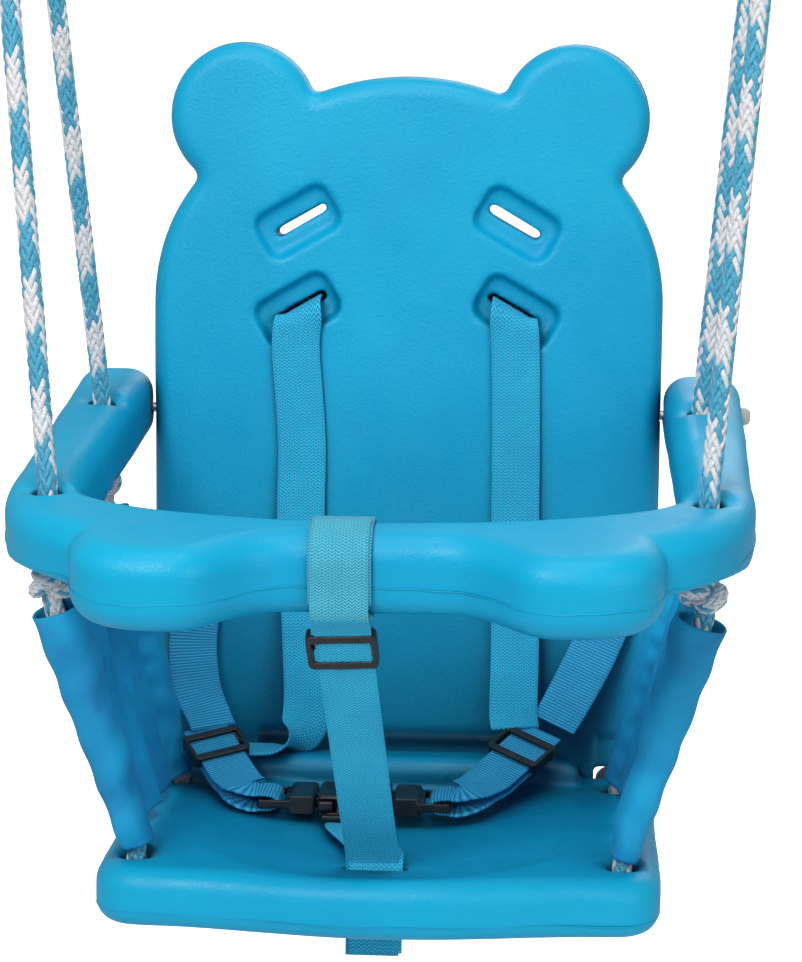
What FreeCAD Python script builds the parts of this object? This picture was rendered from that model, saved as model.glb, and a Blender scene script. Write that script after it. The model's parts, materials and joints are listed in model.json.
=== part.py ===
"""Toddler bucket swing: moulded seat, backrest and guard ring hung from two ropes, with a five-point harness.

Millimetres. +X is to the right seen from the front, +Y is backward and +Z is up. Everything is drawn about a
point on the middle plane just above the seat, and write() then shifts it so that the origin is the bottom
centre of the whole swing's bounding box. The seat and backrest stand square to each other and lean back
together, so both are drawn in an upright "seat frame" and tilted as one.
"""
import FreeCAD, Part
import os
from math import acos, atan2, cos, hypot, pi, radians, sin

V = FreeCAD.Vector
X_AXIS = V(1, 0, 0)
Y_AXIS = V(0, 1, 0)
Z_AXIS = V(0, 0, 1)

# ---- driving dimensions ----
RECLINE = 8.5            # lean of seat and backrest, degrees
SEAT_ORIGIN = V(0, -88, 8)   # seat frame's origin: between the front rope holes, on the seat's top face

ROPE_R = 6.0
ROPE_HOLE_R = 8.0
WEB_WIDTH = 30.0
WEB_THICK = 2.0

SEAT_HALF = 158.0
SEAT_TOP = 5.0
SEAT_THICK = 34.0
SEAT_UNDER = SEAT_TOP - SEAT_THICK
SEAT_FRONT = -38.0
SEAT_BOW = 14.0
RIM_TOP = 14.0           # above the seat's own top face
SEAT_REAR = 205.0
CHEEK_IN = 123.0
CHEEK_REAR = 240.0
SEAT_HOLE_X = 136.0
SEAT_HOLE_PITCH = 173.0
KNOT_RECESS_R = 15.2     # recess under each front rope hole, for the knot
KNOT_RECESS_DEEP = 17.0
LOWER_PIN_Y = 224.0
LOWER_PIN_Z = -12.0

BACK_FACE = 209.0
BACK_THICK = 30.0
BACK_HALF = 159.0
BACK_BOTTOM = 22.0
SIDE_TOP = 300.0
SHOULDER_R = 120.0
NOTCH_R = 6.0
CROWN_R = 160.0
EAR_X = 103.0
EAR_Z = 415.0
EAR_R = 45.5
CROWN_Z = 440.0
SLOT_ROWS = (297.0, 351.5)
SLOT_X = 66.5
SLOT_TILT = 30.0
WAIST_SLOT_X = 130.0
WAIST_SLOT_Z = 118.0
SLOT_LONG = 36.0
SLOT_WIDE = 5.5
POCKET_DEEP = 7.0

GUARD_TOP = 228.0
GUARD_THICK = 45.0
GUARD_EDGE_R = 15.0
ARM_INNER = 161.0
ARM_OUTER = 200.0
ARM_END = 209.0          # outer face at the arm's rear end
ARM_REAR = 186.0
GUARD_HOLES = ((177.0, -95.0), (181.0, 97.0))
UPPER_PIN = (168.0, 204.0)

PIN_R = 3.0
RUNNING_GAP = 0.05

HANG_HALF = 228.0
HANG_Y = 57.0
HANG_Z = 888.0
BUSH_BORE_R = 6.25
BUSH_R = 11.0
BUSH_FLANGE_R = 16.0
ROPE_BEND_R = 20.0       # rope's centreline over the thimble
THIMBLE_WIDE = 18.0
FLANGE_THICK = 3.0

BUCKLE_X = -22.0         # middle of the buckle hub, in the seat frame
BUCKLE_Y = 116.0
BUCKLE_Z = 8.0
LAP_FLAT = V(0.12, 1, 0.05)      # width direction of the lap webbing at the tongue, and at its outer end
LAP_TURNED = {1: V(-0.81, 0.53, 0.23), -1: V(0.87, 0.476, 0.138)}
STAY_THICK = 1.6

KNOT_DROP = 9.0          # a guard knot's middle below the ring
ROPE_DROP = 20.0         # upright run of rope below the ring
REAR_TAIL = -52.67       # end of the rope's tail under a rear seat hole

CROTCH_X = -14.0
BAR_FRONT = -177.2       # front bar's front and rear faces where the crotch strap goes round it
BAR_REAR = -135.6
GLIDE_AT = 0.146         # place of the crotch strap's adjuster, as a share of the way down
LOOP_END = 0.41          # share of the way down at which the bar loop's webbing stops

shapes = {}


# ---- helpers ----
def lean(shape):
    """Move a shape from the upright seat frame to its place on the swing."""
    placed = shape.copy()
    placed.rotate(V(0, 0, 0), X_AXIS, -RECLINE)
    placed.translate(SEAT_ORIGIN)
    return placed


def lean_point(x, y, z):
    turned = FreeCAD.Rotation(X_AXIS, -RECLINE).multVec(V(x, y, z))
    return turned + SEAT_ORIGIN


def mirrored(shape):
    return shape.mirror(V(0, 0, 0), X_AXIS)


def box(x0, x1, y0, y1, z0, z1):
    return Part.makeBox(x1 - x0, y1 - y0, z1 - z0, V(x0, y0, z0))


def rod(radius, start, end):
    run = end - start
    return Part.makeCylinder(radius, run.Length, start, run)


def path_edges(start, steps):
    """Edges from straight steps (end,) and three-point arcs (middle, end)."""
    edges = []
    here = start
    for step in steps:
        if len(step) == 1:
            edges.append(Part.makeLine(here, step[0]))
        else:
            edges.append(Part.Arc(here, step[0], step[1]).toShape())
        here = step[-1]
    return edges


def outline(start, steps):
    return Part.Wire(path_edges(start, steps))


def mirror_points(points):
    """Points from the middle outward, continued onto the other side of x = 0."""
    return [(-x, y) for x, y in points[:0:-1]] + points


def smooth_edge(points, z):
    curve = Part.BSplineCurve()
    curve.interpolate(Points=[V(x, y, z) for x, y in points])
    return curve.toShape()


def two_sided_contour(points, steps, z):
    """Closed outline: a smooth stretch through mirrored points, then the same steps down both sides."""
    middle = smooth_edge(mirror_points(points), z)
    right = path_edges(V(points[-1][0], points[-1][1], z), steps)
    left = [edge.mirror(V(0, 0, 0), X_AXIS) for edge in right]
    return [middle] + right + left


def mirror_steps(start, steps):
    """Continue an outline across the plane x = 0, back down the other side."""
    points = [start]
    for step in steps:
        points.append(step[-1])
    back = []
    for index in range(len(steps) - 1, -1, -1):
        end = flip(points[index])
        if len(steps[index]) == 1:
            back.append((end,))
        else:
            back.append((flip(steps[index][0]), end))
    return steps + back


def flip(point):
    return V(-point.x, point.y, point.z)


def soften(solid, radius, axis, places):
    """Round the edges that lie in the flat faces at the given places along an axis."""
    chosen = []
    for edge in solid.Edges:
        bounds = edge.BoundBox
        low = (bounds.XMin, bounds.YMin, bounds.ZMin)[axis]
        high = (bounds.XMax, bounds.YMax, bounds.ZMax)[axis]
        if high - low < 0.01 and any(abs(low - place) < 0.01 for place in places):
            chosen.append(edge)
    return solid.makeFillet(radius, chosen)


def hollow_between(one, other, radius):
    """Circle of a given radius resting in the hollow between two circles, right of the line joining them."""
    (x1, z1), r1 = one
    (x2, z2), r2 = other
    gap = hypot(x2 - x1, z2 - z1)
    a = r1 + radius
    b = r2 + radius
    along = (a * a - b * b + gap * gap) / (2 * gap)
    off = -(a * a - along * along) ** 0.5
    ux = (x2 - x1) / gap
    uz = (z2 - z1) / gap
    return (x1 + ux * along - uz * off, z1 + uz * along + ux * off), radius


def angle_to(circle, other):
    return atan2(other[0][1] - circle[0][1], other[0][0] - circle[0][0])


def arc_on(circle, first, last, direction, place):
    """Outline step along a circle between two angles, counter-clockwise for direction 1, clockwise for -1."""
    (x, z), r = circle
    turn = direction * ((direction * (last - first)) % (2 * pi))
    middle = first + turn / 2.0
    return (place(x + r * cos(middle), z + r * sin(middle)), place(x + r * cos(last), z + r * sin(last)))


def rounded_rectangle(long, wide, radius, at, y):
    """Wire in the XZ plane: a long x wide rectangle with rounded corners, centred on at = (x, z)."""
    a = long / 2.0
    b = wide / 2.0
    k = radius * (1 - cos(radians(45)))

    def p(x, z):
        return V(at[0] + x, y, at[1] + z)

    return outline(p(a, -b + radius), [
        (p(a, b - radius),), (p(a - k, b - k), p(a - radius, b)),
        (p(-a + radius, b),), (p(-a + k, b - k), p(-a, b - radius)),
        (p(-a, -b + radius),), (p(-a + k, -b + k), p(-a + radius, -b)),
        (p(a - radius, -b),), (p(a - k, -b + k), p(a, -b + radius)),
    ])


def ribbon(stations, width, thick):
    """A strap: flat sections along a path of (point, width direction)."""
    sections = []
    last = len(stations) - 1
    for index, (point, across) in enumerate(stations):
        before = stations[max(index - 1, 0)][0]
        after = stations[min(index + 1, last)][0]
        along = (after - before).normalize()
        side = (across - along * across.dot(along)).normalize() * (width / 2.0)
        face = along.cross(side).normalize() * (thick / 2.0)
        corners = [point + side + face, point - side + face, point - side - face, point + side - face]
        sections.append(Part.makePolygon(corners + corners[:1]))
    return Part.makeLoft(sections, True, True)


CROTCH_TOP = V(CROTCH_X, BAR_FRONT + 0.4, GUARD_TOP - GUARD_THICK + 7.3)
CROTCH_FOOT = lean_point(-3.0, 1.5, 3.0)


# ---- seat pan ----
def seat_pan():
    """Drawn with its top face at z = 0, then raised to its height in the seat frame."""
    front = [
        (0, SEAT_FRONT - SEAT_BOW), (38, SEAT_FRONT - 12.5), (72, SEAT_FRONT - 6), (104, SEAT_FRONT - 1.5),
        (128, SEAT_FRONT), (143, SEAT_FRONT + 3.5), (153, SEAT_FRONT + 13), (157, SEAT_FRONT + 28),
        (SEAT_HALF, SEAT_FRONT + 50),
    ]
    sides = [
        (V(SEAT_HALF, CHEEK_REAR, 0),),
        (V(CHEEK_IN, CHEEK_REAR, 0),),
        (V(CHEEK_IN, SEAT_REAR, 0),),
        (V(0, SEAT_REAR, 0),),
    ]
    contour = Part.Wire(Part.sortEdges(two_sided_contour(front, sides, 0.0))[0])
    base = Part.Face(contour).extrude(V(0, 0, -SEAT_THICK))
    base = soften(base, 12.0, 2, (0.0, -SEAT_THICK))
    dish_r = 122.0
    dish_deep = 10.0
    dish_y = 78.0
    sphere_r = (dish_r ** 2 + dish_deep ** 2) / (2 * dish_deep)
    base = base.cut(Part.makeSphere(sphere_r, V(0, dish_y, sphere_r - dish_deep)))
    rim_half = 112.0
    rim_front = 172.0
    rim = box(-rim_half, rim_half, rim_front, SEAT_REAR, -SEAT_THICK / 2.0, RIM_TOP)
    rim = rim.makeFillet(10.0, [e for e in rim.Edges if e.BoundBox.ZMin > RIM_TOP - 0.01])
    base = base.fuse(rim)
    under = -SEAT_THICK - 22.0
    above = RIM_TOP + 16.0
    pin_z = LOWER_PIN_Z - SEAT_TOP
    for side in (-1, 1):
        x = side * SEAT_HOLE_X
        for y in (0.0, SEAT_HOLE_PITCH):
            base = base.cut(rod(ROPE_HOLE_R, V(x, y, under), V(x, y, above)))
        base = base.cut(rod(KNOT_RECESS_R, V(x, 0, under), V(x, 0, KNOT_RECESS_DEEP - SEAT_THICK)))
        inner = V(side * 100, LOWER_PIN_Y, pin_z)
        outer = V(side * 170, LOWER_PIN_Y, pin_z)
        base = base.cut(rod(PIN_R + RUNNING_GAP, inner, outer))
    base = base.cut(box(-20, 16, -4.5, 4.5, under, above)).removeSplitter()
    base.translate(V(0, 0, SEAT_TOP))
    return base


# ---- backrest ----
def backrest():
    corner = 15.0
    inset = corner * (1 - cos(radians(45)))

    def p(x, z):
        return V(x, BACK_FACE, z)

    ear = ((EAR_X, EAR_Z), EAR_R)
    shoulder = ((BACK_HALF - SHOULDER_R, SIDE_TOP), SHOULDER_R)
    crown = ((0.0, CROWN_Z - CROWN_R), CROWN_R)
    notch = hollow_between(shoulder, ear, NOTCH_R)
    valley = hollow_between(ear, crown, NOTCH_R)

    start = p(0, BACK_BOTTOM)
    steps = [
        (p(BACK_HALF - corner, BACK_BOTTOM),),
        (p(BACK_HALF - inset, BACK_BOTTOM + inset), p(BACK_HALF, BACK_BOTTOM + corner)),
        (p(BACK_HALF, SIDE_TOP),),
        arc_on(shoulder, 0.0, angle_to(shoulder, notch), 1, p),
        arc_on(notch, angle_to(notch, shoulder), angle_to(notch, ear), -1, p),
        arc_on(ear, angle_to(ear, notch), angle_to(ear, valley), 1, p),
        arc_on(valley, angle_to(valley, ear), angle_to(valley, crown), -1, p),
        arc_on(crown, angle_to(crown, valley), pi / 2, 1, p),
    ]
    wire = outline(start, mirror_steps(start, steps))
    board = Part.Face(wire).extrude(V(0, BACK_THICK, 0))
    board = soften(board, 11.0, 1, (BACK_FACE, BACK_FACE + BACK_THICK))
    board = board.fuse(box(-94, 94, BACK_FACE + 17, BACK_FACE + BACK_THICK - 4, -10, BACK_BOTTOM + 14))
    for side in (-1, 1):
        knuckle_in = 92.0 * side
        knuckle_out = (CHEEK_IN - 1.5) * side
        low, high = sorted((knuckle_in, knuckle_out))
        pivot_low = V(low, LOWER_PIN_Y, LOWER_PIN_Z)
        pivot_high = V(high, LOWER_PIN_Y, LOWER_PIN_Z)
        board = board.fuse(box(low, high, BACK_FACE, BACK_FACE + BACK_THICK, LOWER_PIN_Z, BACK_BOTTOM + 20))
        board = board.fuse(rod(BACK_THICK / 2.0, pivot_low, pivot_high))
        foot_low, foot_high = sorted((96.0 * side, (BACK_HALF - 4.0) * side))
        foot = box(foot_low, foot_high, BACK_FACE + 2, BACK_FACE + BACK_THICK - 4, 8.0, BACK_BOTTOM + 20)
        board = board.fuse(foot)
        board = board.cut(rod(PIN_R + RUNNING_GAP, pivot_low - X_AXIS, pivot_high + X_AXIS))
        for row in SLOT_ROWS:
            board = board.cut(pocket(side, row))
            board = board.cut(slot(side * SLOT_X, row, side * SLOT_TILT))
        board = board.cut(slot(side * WAIST_SLOT_X, WAIST_SLOT_Z, 0.0))
    return board.removeSplitter()


def pocket(side, z):
    """Sunk rounded rectangle round a shoulder slot, its inner end higher than its outer end."""
    mouth = rounded_rectangle(54, 33, 10, (side * (SLOT_X + 2), z), BACK_FACE - 0.01)
    floor = rounded_rectangle(46, 25, 6, (side * (SLOT_X + 2), z), BACK_FACE + POCKET_DEEP)
    sunk = Part.makeLoft([mouth, floor], True, True)
    sunk.rotate(V(side * SLOT_X, 0, z), Y_AXIS, side * SLOT_TILT)
    return sunk


def slot(x, z, tilt):
    cut = Part.Face(rounded_rectangle(SLOT_LONG, SLOT_WIDE, 2.5, (x, z), BACK_FACE - 5))
    cut = cut.extrude(V(0, BACK_THICK + 10, 0))
    cut.rotate(V(x, 0, z), Y_AXIS, tilt)
    return cut


# ---- guard ring ----
def guard_ring():
    """Ring open at the rear, with a deeper bar of two bumps fused to its front."""
    bottom = GUARD_TOP - GUARD_THICK
    ring = ring_body(bottom).fuse(bump_bar(bottom))
    grip_r = 15.0
    grip_z = bottom - 4.0
    pin_y, pin_z = UPPER_PIN
    for side in (-1, 1):
        for x, y in GUARD_HOLES:
            ring = ring.cut(rod(ROPE_HOLE_R, V(side * x, y, bottom - 5), V(side * x, y, GUARD_TOP + 5)))
        ring = ring.cut(rod(PIN_R + RUNNING_GAP, V(side * 150, pin_y, pin_z), V(side * 220, pin_y, pin_z)))
        for y in (-12.0, 16.0, 44.0):
            ring = ring.cut(rod(grip_r, V(side * 150, y, grip_z), V(side * 176, y, grip_z)))
    return ring.removeSplitter()


def ring_body(bottom):
    def p(x, y):
        return V(x, y, bottom)

    end_r = 17.0
    k = end_r * (1 - cos(radians(45)))
    front = [
        (0, -174), (48, -175), (100, -180), (132, -178), (158, -165), (180, -144), (195, -117),
        (ARM_OUTER + 3, -80), (ARM_OUTER + 3.5, -40),
    ]
    inside = [
        (ARM_INNER + 2.5, -40), (ARM_INNER + 1.5, -66), (154, -94), (134, -110), (70, -131), (0, -138),
    ]
    inner = smooth_edge(mirror_points(inside[::-1]), bottom)
    arm = [
        (p(ARM_END, ARM_REAR - end_r),),
        (p(ARM_END - k, ARM_REAR - k), p(ARM_END - end_r, ARM_REAR)),
        (p(ARM_INNER + end_r, ARM_REAR),),
        (p(ARM_INNER + k, ARM_REAR - k), p(ARM_INNER, ARM_REAR - end_r)),
        (p(*inside[0]),),
    ]
    contour = Part.Wire(Part.sortEdges(two_sided_contour(front, arm, bottom) + [inner])[0])
    ring = Part.Face(contour).extrude(V(0, 0, GUARD_THICK))
    ring = soften(ring, GUARD_EDGE_R, 2, (bottom, GUARD_TOP))
    for side in (-1, 1):
        ring = ring.cut(corner_wedge(side, bottom))
    return ring


def corner_wedge(side, bottom):
    """Block whose sloping top trims the underside of a front corner, more towards the outside."""
    reach = 190.0
    slope = 21.0
    block = Part.makeBox(80, 200, 40, V(0, -100, -40))
    block.rotate(V(0, 0, 0), Y_AXIS, -slope)
    block.translate(V(reach, 0, bottom))
    block.rotate(V(0, 0, 0), Z_AXIS, -45.0 if side > 0 else -135.0)
    return block


def bump_bar(bottom):
    def p(x, y):
        return V(x, y, bottom)

    front = [
        (0, -176), (26, -175.5), (48, -177.5), (66, -190), (84, -205.5), (107, -209.03), (129, -205),
        (145, -193), (152, -174), (150, -152), (140, -134), (124, -124),
    ]
    behind = [(110, -124), (60, -134), (0, -139.5)]
    inner = smooth_edge(mirror_points(behind[::-1]), bottom)
    end = [(p(*behind[0]),)]
    contour = Part.Wire(Part.sortEdges(two_sided_contour(front, end, bottom) + [inner])[0])
    bar = Part.Face(contour).extrude(V(0, 0, GUARD_THICK))
    return soften(bar, GUARD_EDGE_R, 2, (bottom, GUARD_TOP))


# ---- hinge pins ----
def pin(inner_x, outer_x, y, z):
    """A pivot pin, and the domed cap on its outer end."""
    cap_r = 5.5
    cap_long = 6.0
    pin_end = outer_x + cap_long / 2.0
    cap_end = outer_x + cap_long
    shaft = rod(PIN_R, V(inner_x, y, z), V(pin_end, y, z))
    cap = rod(cap_r, V(outer_x, y, z), V(cap_end, y, z))
    cap = cap.makeFillet(3.5, [e for e in cap.Edges if e.BoundBox.XMin > cap_end - 0.01])
    cap = cap.cut(rod(PIN_R + RUNNING_GAP, V(outer_x - 1, y, z), V(pin_end + 0.1, y, z)))
    return shaft, cap


# ---- ropes ----
def tangent(target_y, target_z, side):
    """Angle round the hang point at which a rope leaves its bend for a target below."""
    dy = target_y - HANG_Y
    dz = target_z - HANG_Z
    return atan2(dz, dy) + side * acos(ROPE_BEND_R / hypot(dy, dz))


def rope():
    """One rope, right-hand side: up from the seat's front hole, over the thimble, down to the rear hole."""
    guard_low = GUARD_TOP - GUARD_THICK
    guard_high = GUARD_TOP + 2.0
    straight = 34.0          # upright run below the thimble, before the rope leans towards the guard
    up = lean_point(0, 0, 1) - SEAT_ORIGIN
    parts = []
    angles = []
    ends = ((SEAT_UNDER + 1.0, SEAT_UNDER + 7.0), (REAR_TAIL, SEAT_UNDER - 8.5))
    runs = zip(GUARD_HOLES, (0.0, SEAT_HOLE_PITCH), ends, (-1, 1))
    for (guard_x, guard_y), seat_y, (below, knot_z), side in runs:
        angle = tangent(guard_y, guard_high, side)
        angles.append(angle)
        leave = V(HANG_HALF, HANG_Y + ROPE_BEND_R * cos(angle), HANG_Z + ROPE_BEND_R * sin(angle))
        clear = leave + V(0, -side * sin(angle), side * cos(angle)) * -straight
        path = [
            lean_point(SEAT_HOLE_X, seat_y, below),
            lean_point(SEAT_HOLE_X, seat_y, SEAT_TOP + 3.0),
            V(guard_x, guard_y, guard_low - ROPE_DROP),
            V(guard_x, guard_y, guard_high),
            clear,
            leave,
        ]
        for start, end in zip(path[:-1], path[1:]):
            parts.append(rod(ROPE_R, start, end))
        for joint in path[1:]:
            parts.append(Part.makeSphere(ROPE_R, joint))
        parts.append(knot(V(guard_x, guard_y, guard_low - KNOT_DROP), Z_AXIS))
        parts.append(knot(lean_point(SEAT_HOLE_X, seat_y, knot_z), up))
    steps = 14
    first, last = angles
    over = (first - last) % (2 * pi)
    bend = []
    for index in range(steps + 1):
        angle = first - over * index / steps
        bend.append(V(HANG_HALF, HANG_Y + ROPE_BEND_R * cos(angle), HANG_Z + ROPE_BEND_R * sin(angle)))
    for start, end in zip(bend[:-1], bend[1:]):
        parts.append(rod(ROPE_R, start, end))
        parts.append(Part.makeSphere(ROPE_R, end))
    return parts[0].multiFuse(parts[1:])


def knot(centre, axis):
    """Ring of rope that stands for an overhand knot."""
    return Part.makeTorus(8.0, 6.3, centre, axis)


# ---- hang point: nylon bush in a grooved thimble ----
def hanger_bush():
    half = THIMBLE_WIDE / 2.0 + 0.2
    tube = rod(BUSH_R, V(HANG_HALF - half, HANG_Y, HANG_Z), V(HANG_HALF + half, HANG_Y, HANG_Z))
    for side in (-1, 1):
        inner = V(HANG_HALF + side * half, HANG_Y, HANG_Z)
        outer = V(HANG_HALF + side * (half + FLANGE_THICK), HANG_Y, HANG_Z)
        tube = tube.fuse(rod(BUSH_FLANGE_R, inner, outer))
    bore = rod(BUSH_BORE_R, V(HANG_HALF - 30, HANG_Y, HANG_Z), V(HANG_HALF + 30, HANG_Y, HANG_Z))
    return tube.cut(bore).removeSplitter()


def thimble():
    half = THIMBLE_WIDE / 2.0
    low = V(HANG_HALF - half, HANG_Y, HANG_Z)
    high = V(HANG_HALF + half, HANG_Y, HANG_Z)
    wheel = rod(ROPE_BEND_R + 0.4, low, high)
    groove = Part.makeTorus(ROPE_BEND_R, ROPE_R + 0.3, V(HANG_HALF, HANG_Y, HANG_Z), X_AXIS)
    return wheel.cut(groove).cut(rod(BUSH_R + RUNNING_GAP, low, high))


# ---- side panels ----
def side_panel():
    """Fabric side with an open-ended sleeve round each rope run between seat and guard."""
    sleeve_r = 9.5
    bore_r = ROPE_R + 0.8
    half = X_AXIS * 2.5
    sections = []
    sleeves = []
    bores = []
    for (guard_x, guard_y), seat_y in zip(GUARD_HOLES, (0.0, SEAT_HOLE_PITCH)):
        foot = lean_point(SEAT_HOLE_X, seat_y, SEAT_TOP + 3.0)
        head = V(guard_x, guard_y, GUARD_TOP - GUARD_THICK - ROPE_DROP)
        run = head - foot
        low = foot + run * 0.05
        high = foot + run * 0.97
        sections.append(Part.makePolygon([low - half, high - half, high + half, low + half, low - half]))
        sleeves.append(rod(sleeve_r, low, high))
        bores.append(rod(bore_r, foot - run * 0.1, head + run * 0.1))
    sheet = Part.makeLoft(sections, True, True)
    return sheet.multiFuse(sleeves).cut(bores)


# ---- harness webbing, in the seat frame ----
def shoulder_strap(side):
    tilt = V(cos(radians(SLOT_TILT)), 0, -side * sin(radians(SLOT_TILT)))
    x = side * SLOT_X
    z = SLOT_ROWS[0]
    stations = [
        (V(x, BACK_FACE + BACK_THICK + 1.5, z), tilt),
        (V(x, BACK_FACE + 1.0, z), tilt),
        (V(x + side * 0.5, BACK_FACE - 4.0, z - 7), tilt),
        (V(x + side * 2.0, BACK_FACE - 5.0, z - 30), X_AXIS),
    ]
    if side > 0:
        stations += [
            (V(x + 3.5, BACK_FACE - 6.0, 180), X_AXIS),
            (V(x + 4.5, BACK_FACE - 16.0, 90), X_AXIS),
            (V(x + 4.5, BACK_FACE - 33.0, 46), X_AXIS),
        ]
    else:
        stations += [
            (V(x + 2.0, BACK_FACE - 7.0, 176), X_AXIS),
            (V(x + 6.0, BACK_FACE - 14.0, 90), X_AXIS),
            (V(x + 8.0, BACK_FACE - 22.0, 45), V(1, 0.15, 0)),
            (V(x + 2.0, BACK_FACE - 28.0, 30), V(0.6, 0.8, 0)),
            (V(x - 12.0, BACK_FACE - 32.0, 28), V(0.25, 1, 0)),
        ]
    return ribbon(stations, WEB_WIDTH, WEB_THICK)


def waist_strap(side):
    x = side * WAIST_SLOT_X
    stations = [
        (V(x, BACK_FACE + BACK_THICK + 1.5, WAIST_SLOT_Z), X_AXIS),
        (V(x, BACK_FACE - 0.5, WAIST_SLOT_Z), X_AXIS),
        (V(x, BACK_FACE - 5.0, WAIST_SLOT_Z - 8), X_AXIS),
    ]
    if side > 0:
        stations += [
            (V(x - 11, BACK_FACE - 16.0, 82), V(1, 0.1, 0.3)),
            (V(x - 26, BACK_FACE - 28.0, 56), V(1, 0.1, 0.5)),
        ]
    else:
        stations += [
            (V(x - 2, BACK_FACE - 12.0, 84), X_AXIS),
            (V(x + 3, BACK_FACE - 24.0, 58), V(1, 0.2, 0)),
            (V(x + 13, BACK_FACE - 33.0, 46), V(1, 0.4, 0)),
        ]
    return ribbon(stations, WEB_WIDTH, WEB_THICK)


def lap_path(side):
    """Straight run of webbing from beyond the strap adjuster to the buckle tongue: (outer, inner) points."""
    inner = V(BUCKLE_X + side * 66.0, BUCKLE_Y + 1.0, BUCKLE_Z + 1.0)
    if side > 0:
        outer = V(86.0, 168.0, 37.0)
    else:
        outer = V(-118.0, 164.0, 35.0)
    return outer, inner


def lap_web(side):
    """Turned to face forward past the adjuster's travel, then twisting flat for the buckle tongue."""
    outer, inner = lap_path(side)
    twist = outer + (inner - outer) * 0.64
    turned = LAP_TURNED[side]
    end = inner + (outer - inner) * 0.09
    return ribbon([(outer, turned), (twist, turned), (end, LAP_FLAT)], WEB_WIDTH, WEB_THICK)


def tri_glide(point, along, across):
    """Three-bar adjuster: a rounded frame in front of the webbing, with a middle bar behind it."""
    bar = 5.0
    rail = 2.8
    long = 24.0
    half = WEB_WIDTH / 2.0 + 0.6
    gap = WEB_THICK / 2.0 + 0.5
    front_deep = 2.3
    rear_deep = 2.2
    deep = gap + rear_deep
    wide = 2 * (half + rail)
    outer = Part.makeBox(long, wide, deep + gap + front_deep, V(-long / 2.0, -wide / 2.0, -deep))
    outer = outer.makeFillet(3.5, [e for e in outer.Edges if e.BoundBox.ZLength > deep])
    glide = outer.cut(Part.makeBox(long - 2 * bar, 2 * half, 20, V(-long / 2.0 + bar, -half, -10)))
    glide = glide.cut(Part.makeBox(long + 2, 2 * half, deep + gap, V(-long / 2.0 - 1, -half, -deep)))
    glide = glide.fuse(Part.makeBox(bar, 2 * half + 1, rear_deep, V(-bar / 2.0, -half - 0.5, -deep)))
    glide = glide.removeSplitter()
    e_x = V(along).normalize()
    e_y = (across - e_x * across.dot(e_x)).normalize()
    e_z = e_x.cross(e_y)
    glide.Placement = FreeCAD.Placement(point, FreeCAD.Rotation(e_x, e_y, e_z))
    return glide


# ---- side-release buckle: a hub with a tongue at each end ----
def buckle_box(x0, x1, half_y, half_z):
    """Box centred on the buckle's middle plane and height, from its own x0 to x1."""
    return box(BUCKLE_X + x0, BUCKLE_X + x1, BUCKLE_Y - half_y, BUCKLE_Y + half_y,
               BUCKLE_Z - half_z, BUCKLE_Z + half_z)


def buckle_hub():
    """Sleeve with a socket at each end, its sides cut away for the thumb pads, and a lug for the stay."""
    half = 22.0
    socket_half = 4.2
    hub = buckle_box(-half, half, 19, 6.5)
    hub = hub.makeFillet(3.0, hub.Edges)
    for low, high in ((-half - 1, -3.0), (3.0, half + 1)):
        hub = hub.cut(buckle_box(low, high, 15, socket_half))
    for low, high in ((-half - 1, -10.0), (10.0, half + 1)):
        hub = hub.cut(buckle_box(low, high, 20, socket_half))
    lug = box(BUCKLE_X - 18, BUCKLE_X + 18, BUCKLE_Y - 28, BUCKLE_Y - 16, BUCKLE_Z - 6.5, BUCKLE_Z - 3.5)
    window = box(BUCKLE_X - 15.5, BUCKLE_X + 15.5, BUCKLE_Y - 25, BUCKLE_Y - 21, BUCKLE_Z - 7, BUCKLE_Z - 3)
    return hub.fuse(lug).cut(window).removeSplitter()


def buckle_tongue(side):
    """Drawn for the right end about the buckle's middle, then mirrored for the left."""
    body = box(23.0, 40.0, -18, 18, -5.5, 5.5)
    ends = [e for e in body.Edges if e.BoundBox.XLength < 0.01 or e.BoundBox.XMin > 39.9]
    body = body.makeFillet(3.0, ends)
    bars = box(38.0, 58.0, -18, 18, -2.5, 2.5)
    bars = bars.makeFillet(2.0, [e for e in bars.Edges if e.BoundBox.XMin > 57.9])
    window = box(42.0, 47.0, -15.3, 15.3, -6, 6)
    second = box(50.5, 54.5, -15.3, 15.3, -6, 6)
    guide = box(5.0, 24.0, -5.0, 5.0, -3.2, 3.2)
    tongue = body.fuse(bars).fuse(guide).cut(window).cut(second).removeSplitter()
    return place_tongue_part(tongue, side)


def buckle_prong(side, edge):
    """Sprung side arm: rooted at the tongue's shoulder, with a thumb pad on its outer side."""
    arm = box(6.0, 22.7, 9.5, 13.0, -3.2, 3.2)
    pad = box(12.0, 21.0, 12.5, 20.5, -3.2, 3.2)
    outer_edges = [e for e in pad.Edges if e.BoundBox.YLength < 0.01 and e.BoundBox.YMin > 20]
    pad = pad.makeFillet(1.5, outer_edges)
    prong = arm.fuse(pad).removeSplitter()
    if edge < 0:
        prong = prong.mirror(V(0, 0, 0), Y_AXIS)
    return place_tongue_part(prong, side)


def place_tongue_part(part, side):
    placed = mirrored(part) if side < 0 else part.copy()
    placed.translate(V(BUCKLE_X, BUCKLE_Y, BUCKLE_Z))
    return placed


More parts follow.
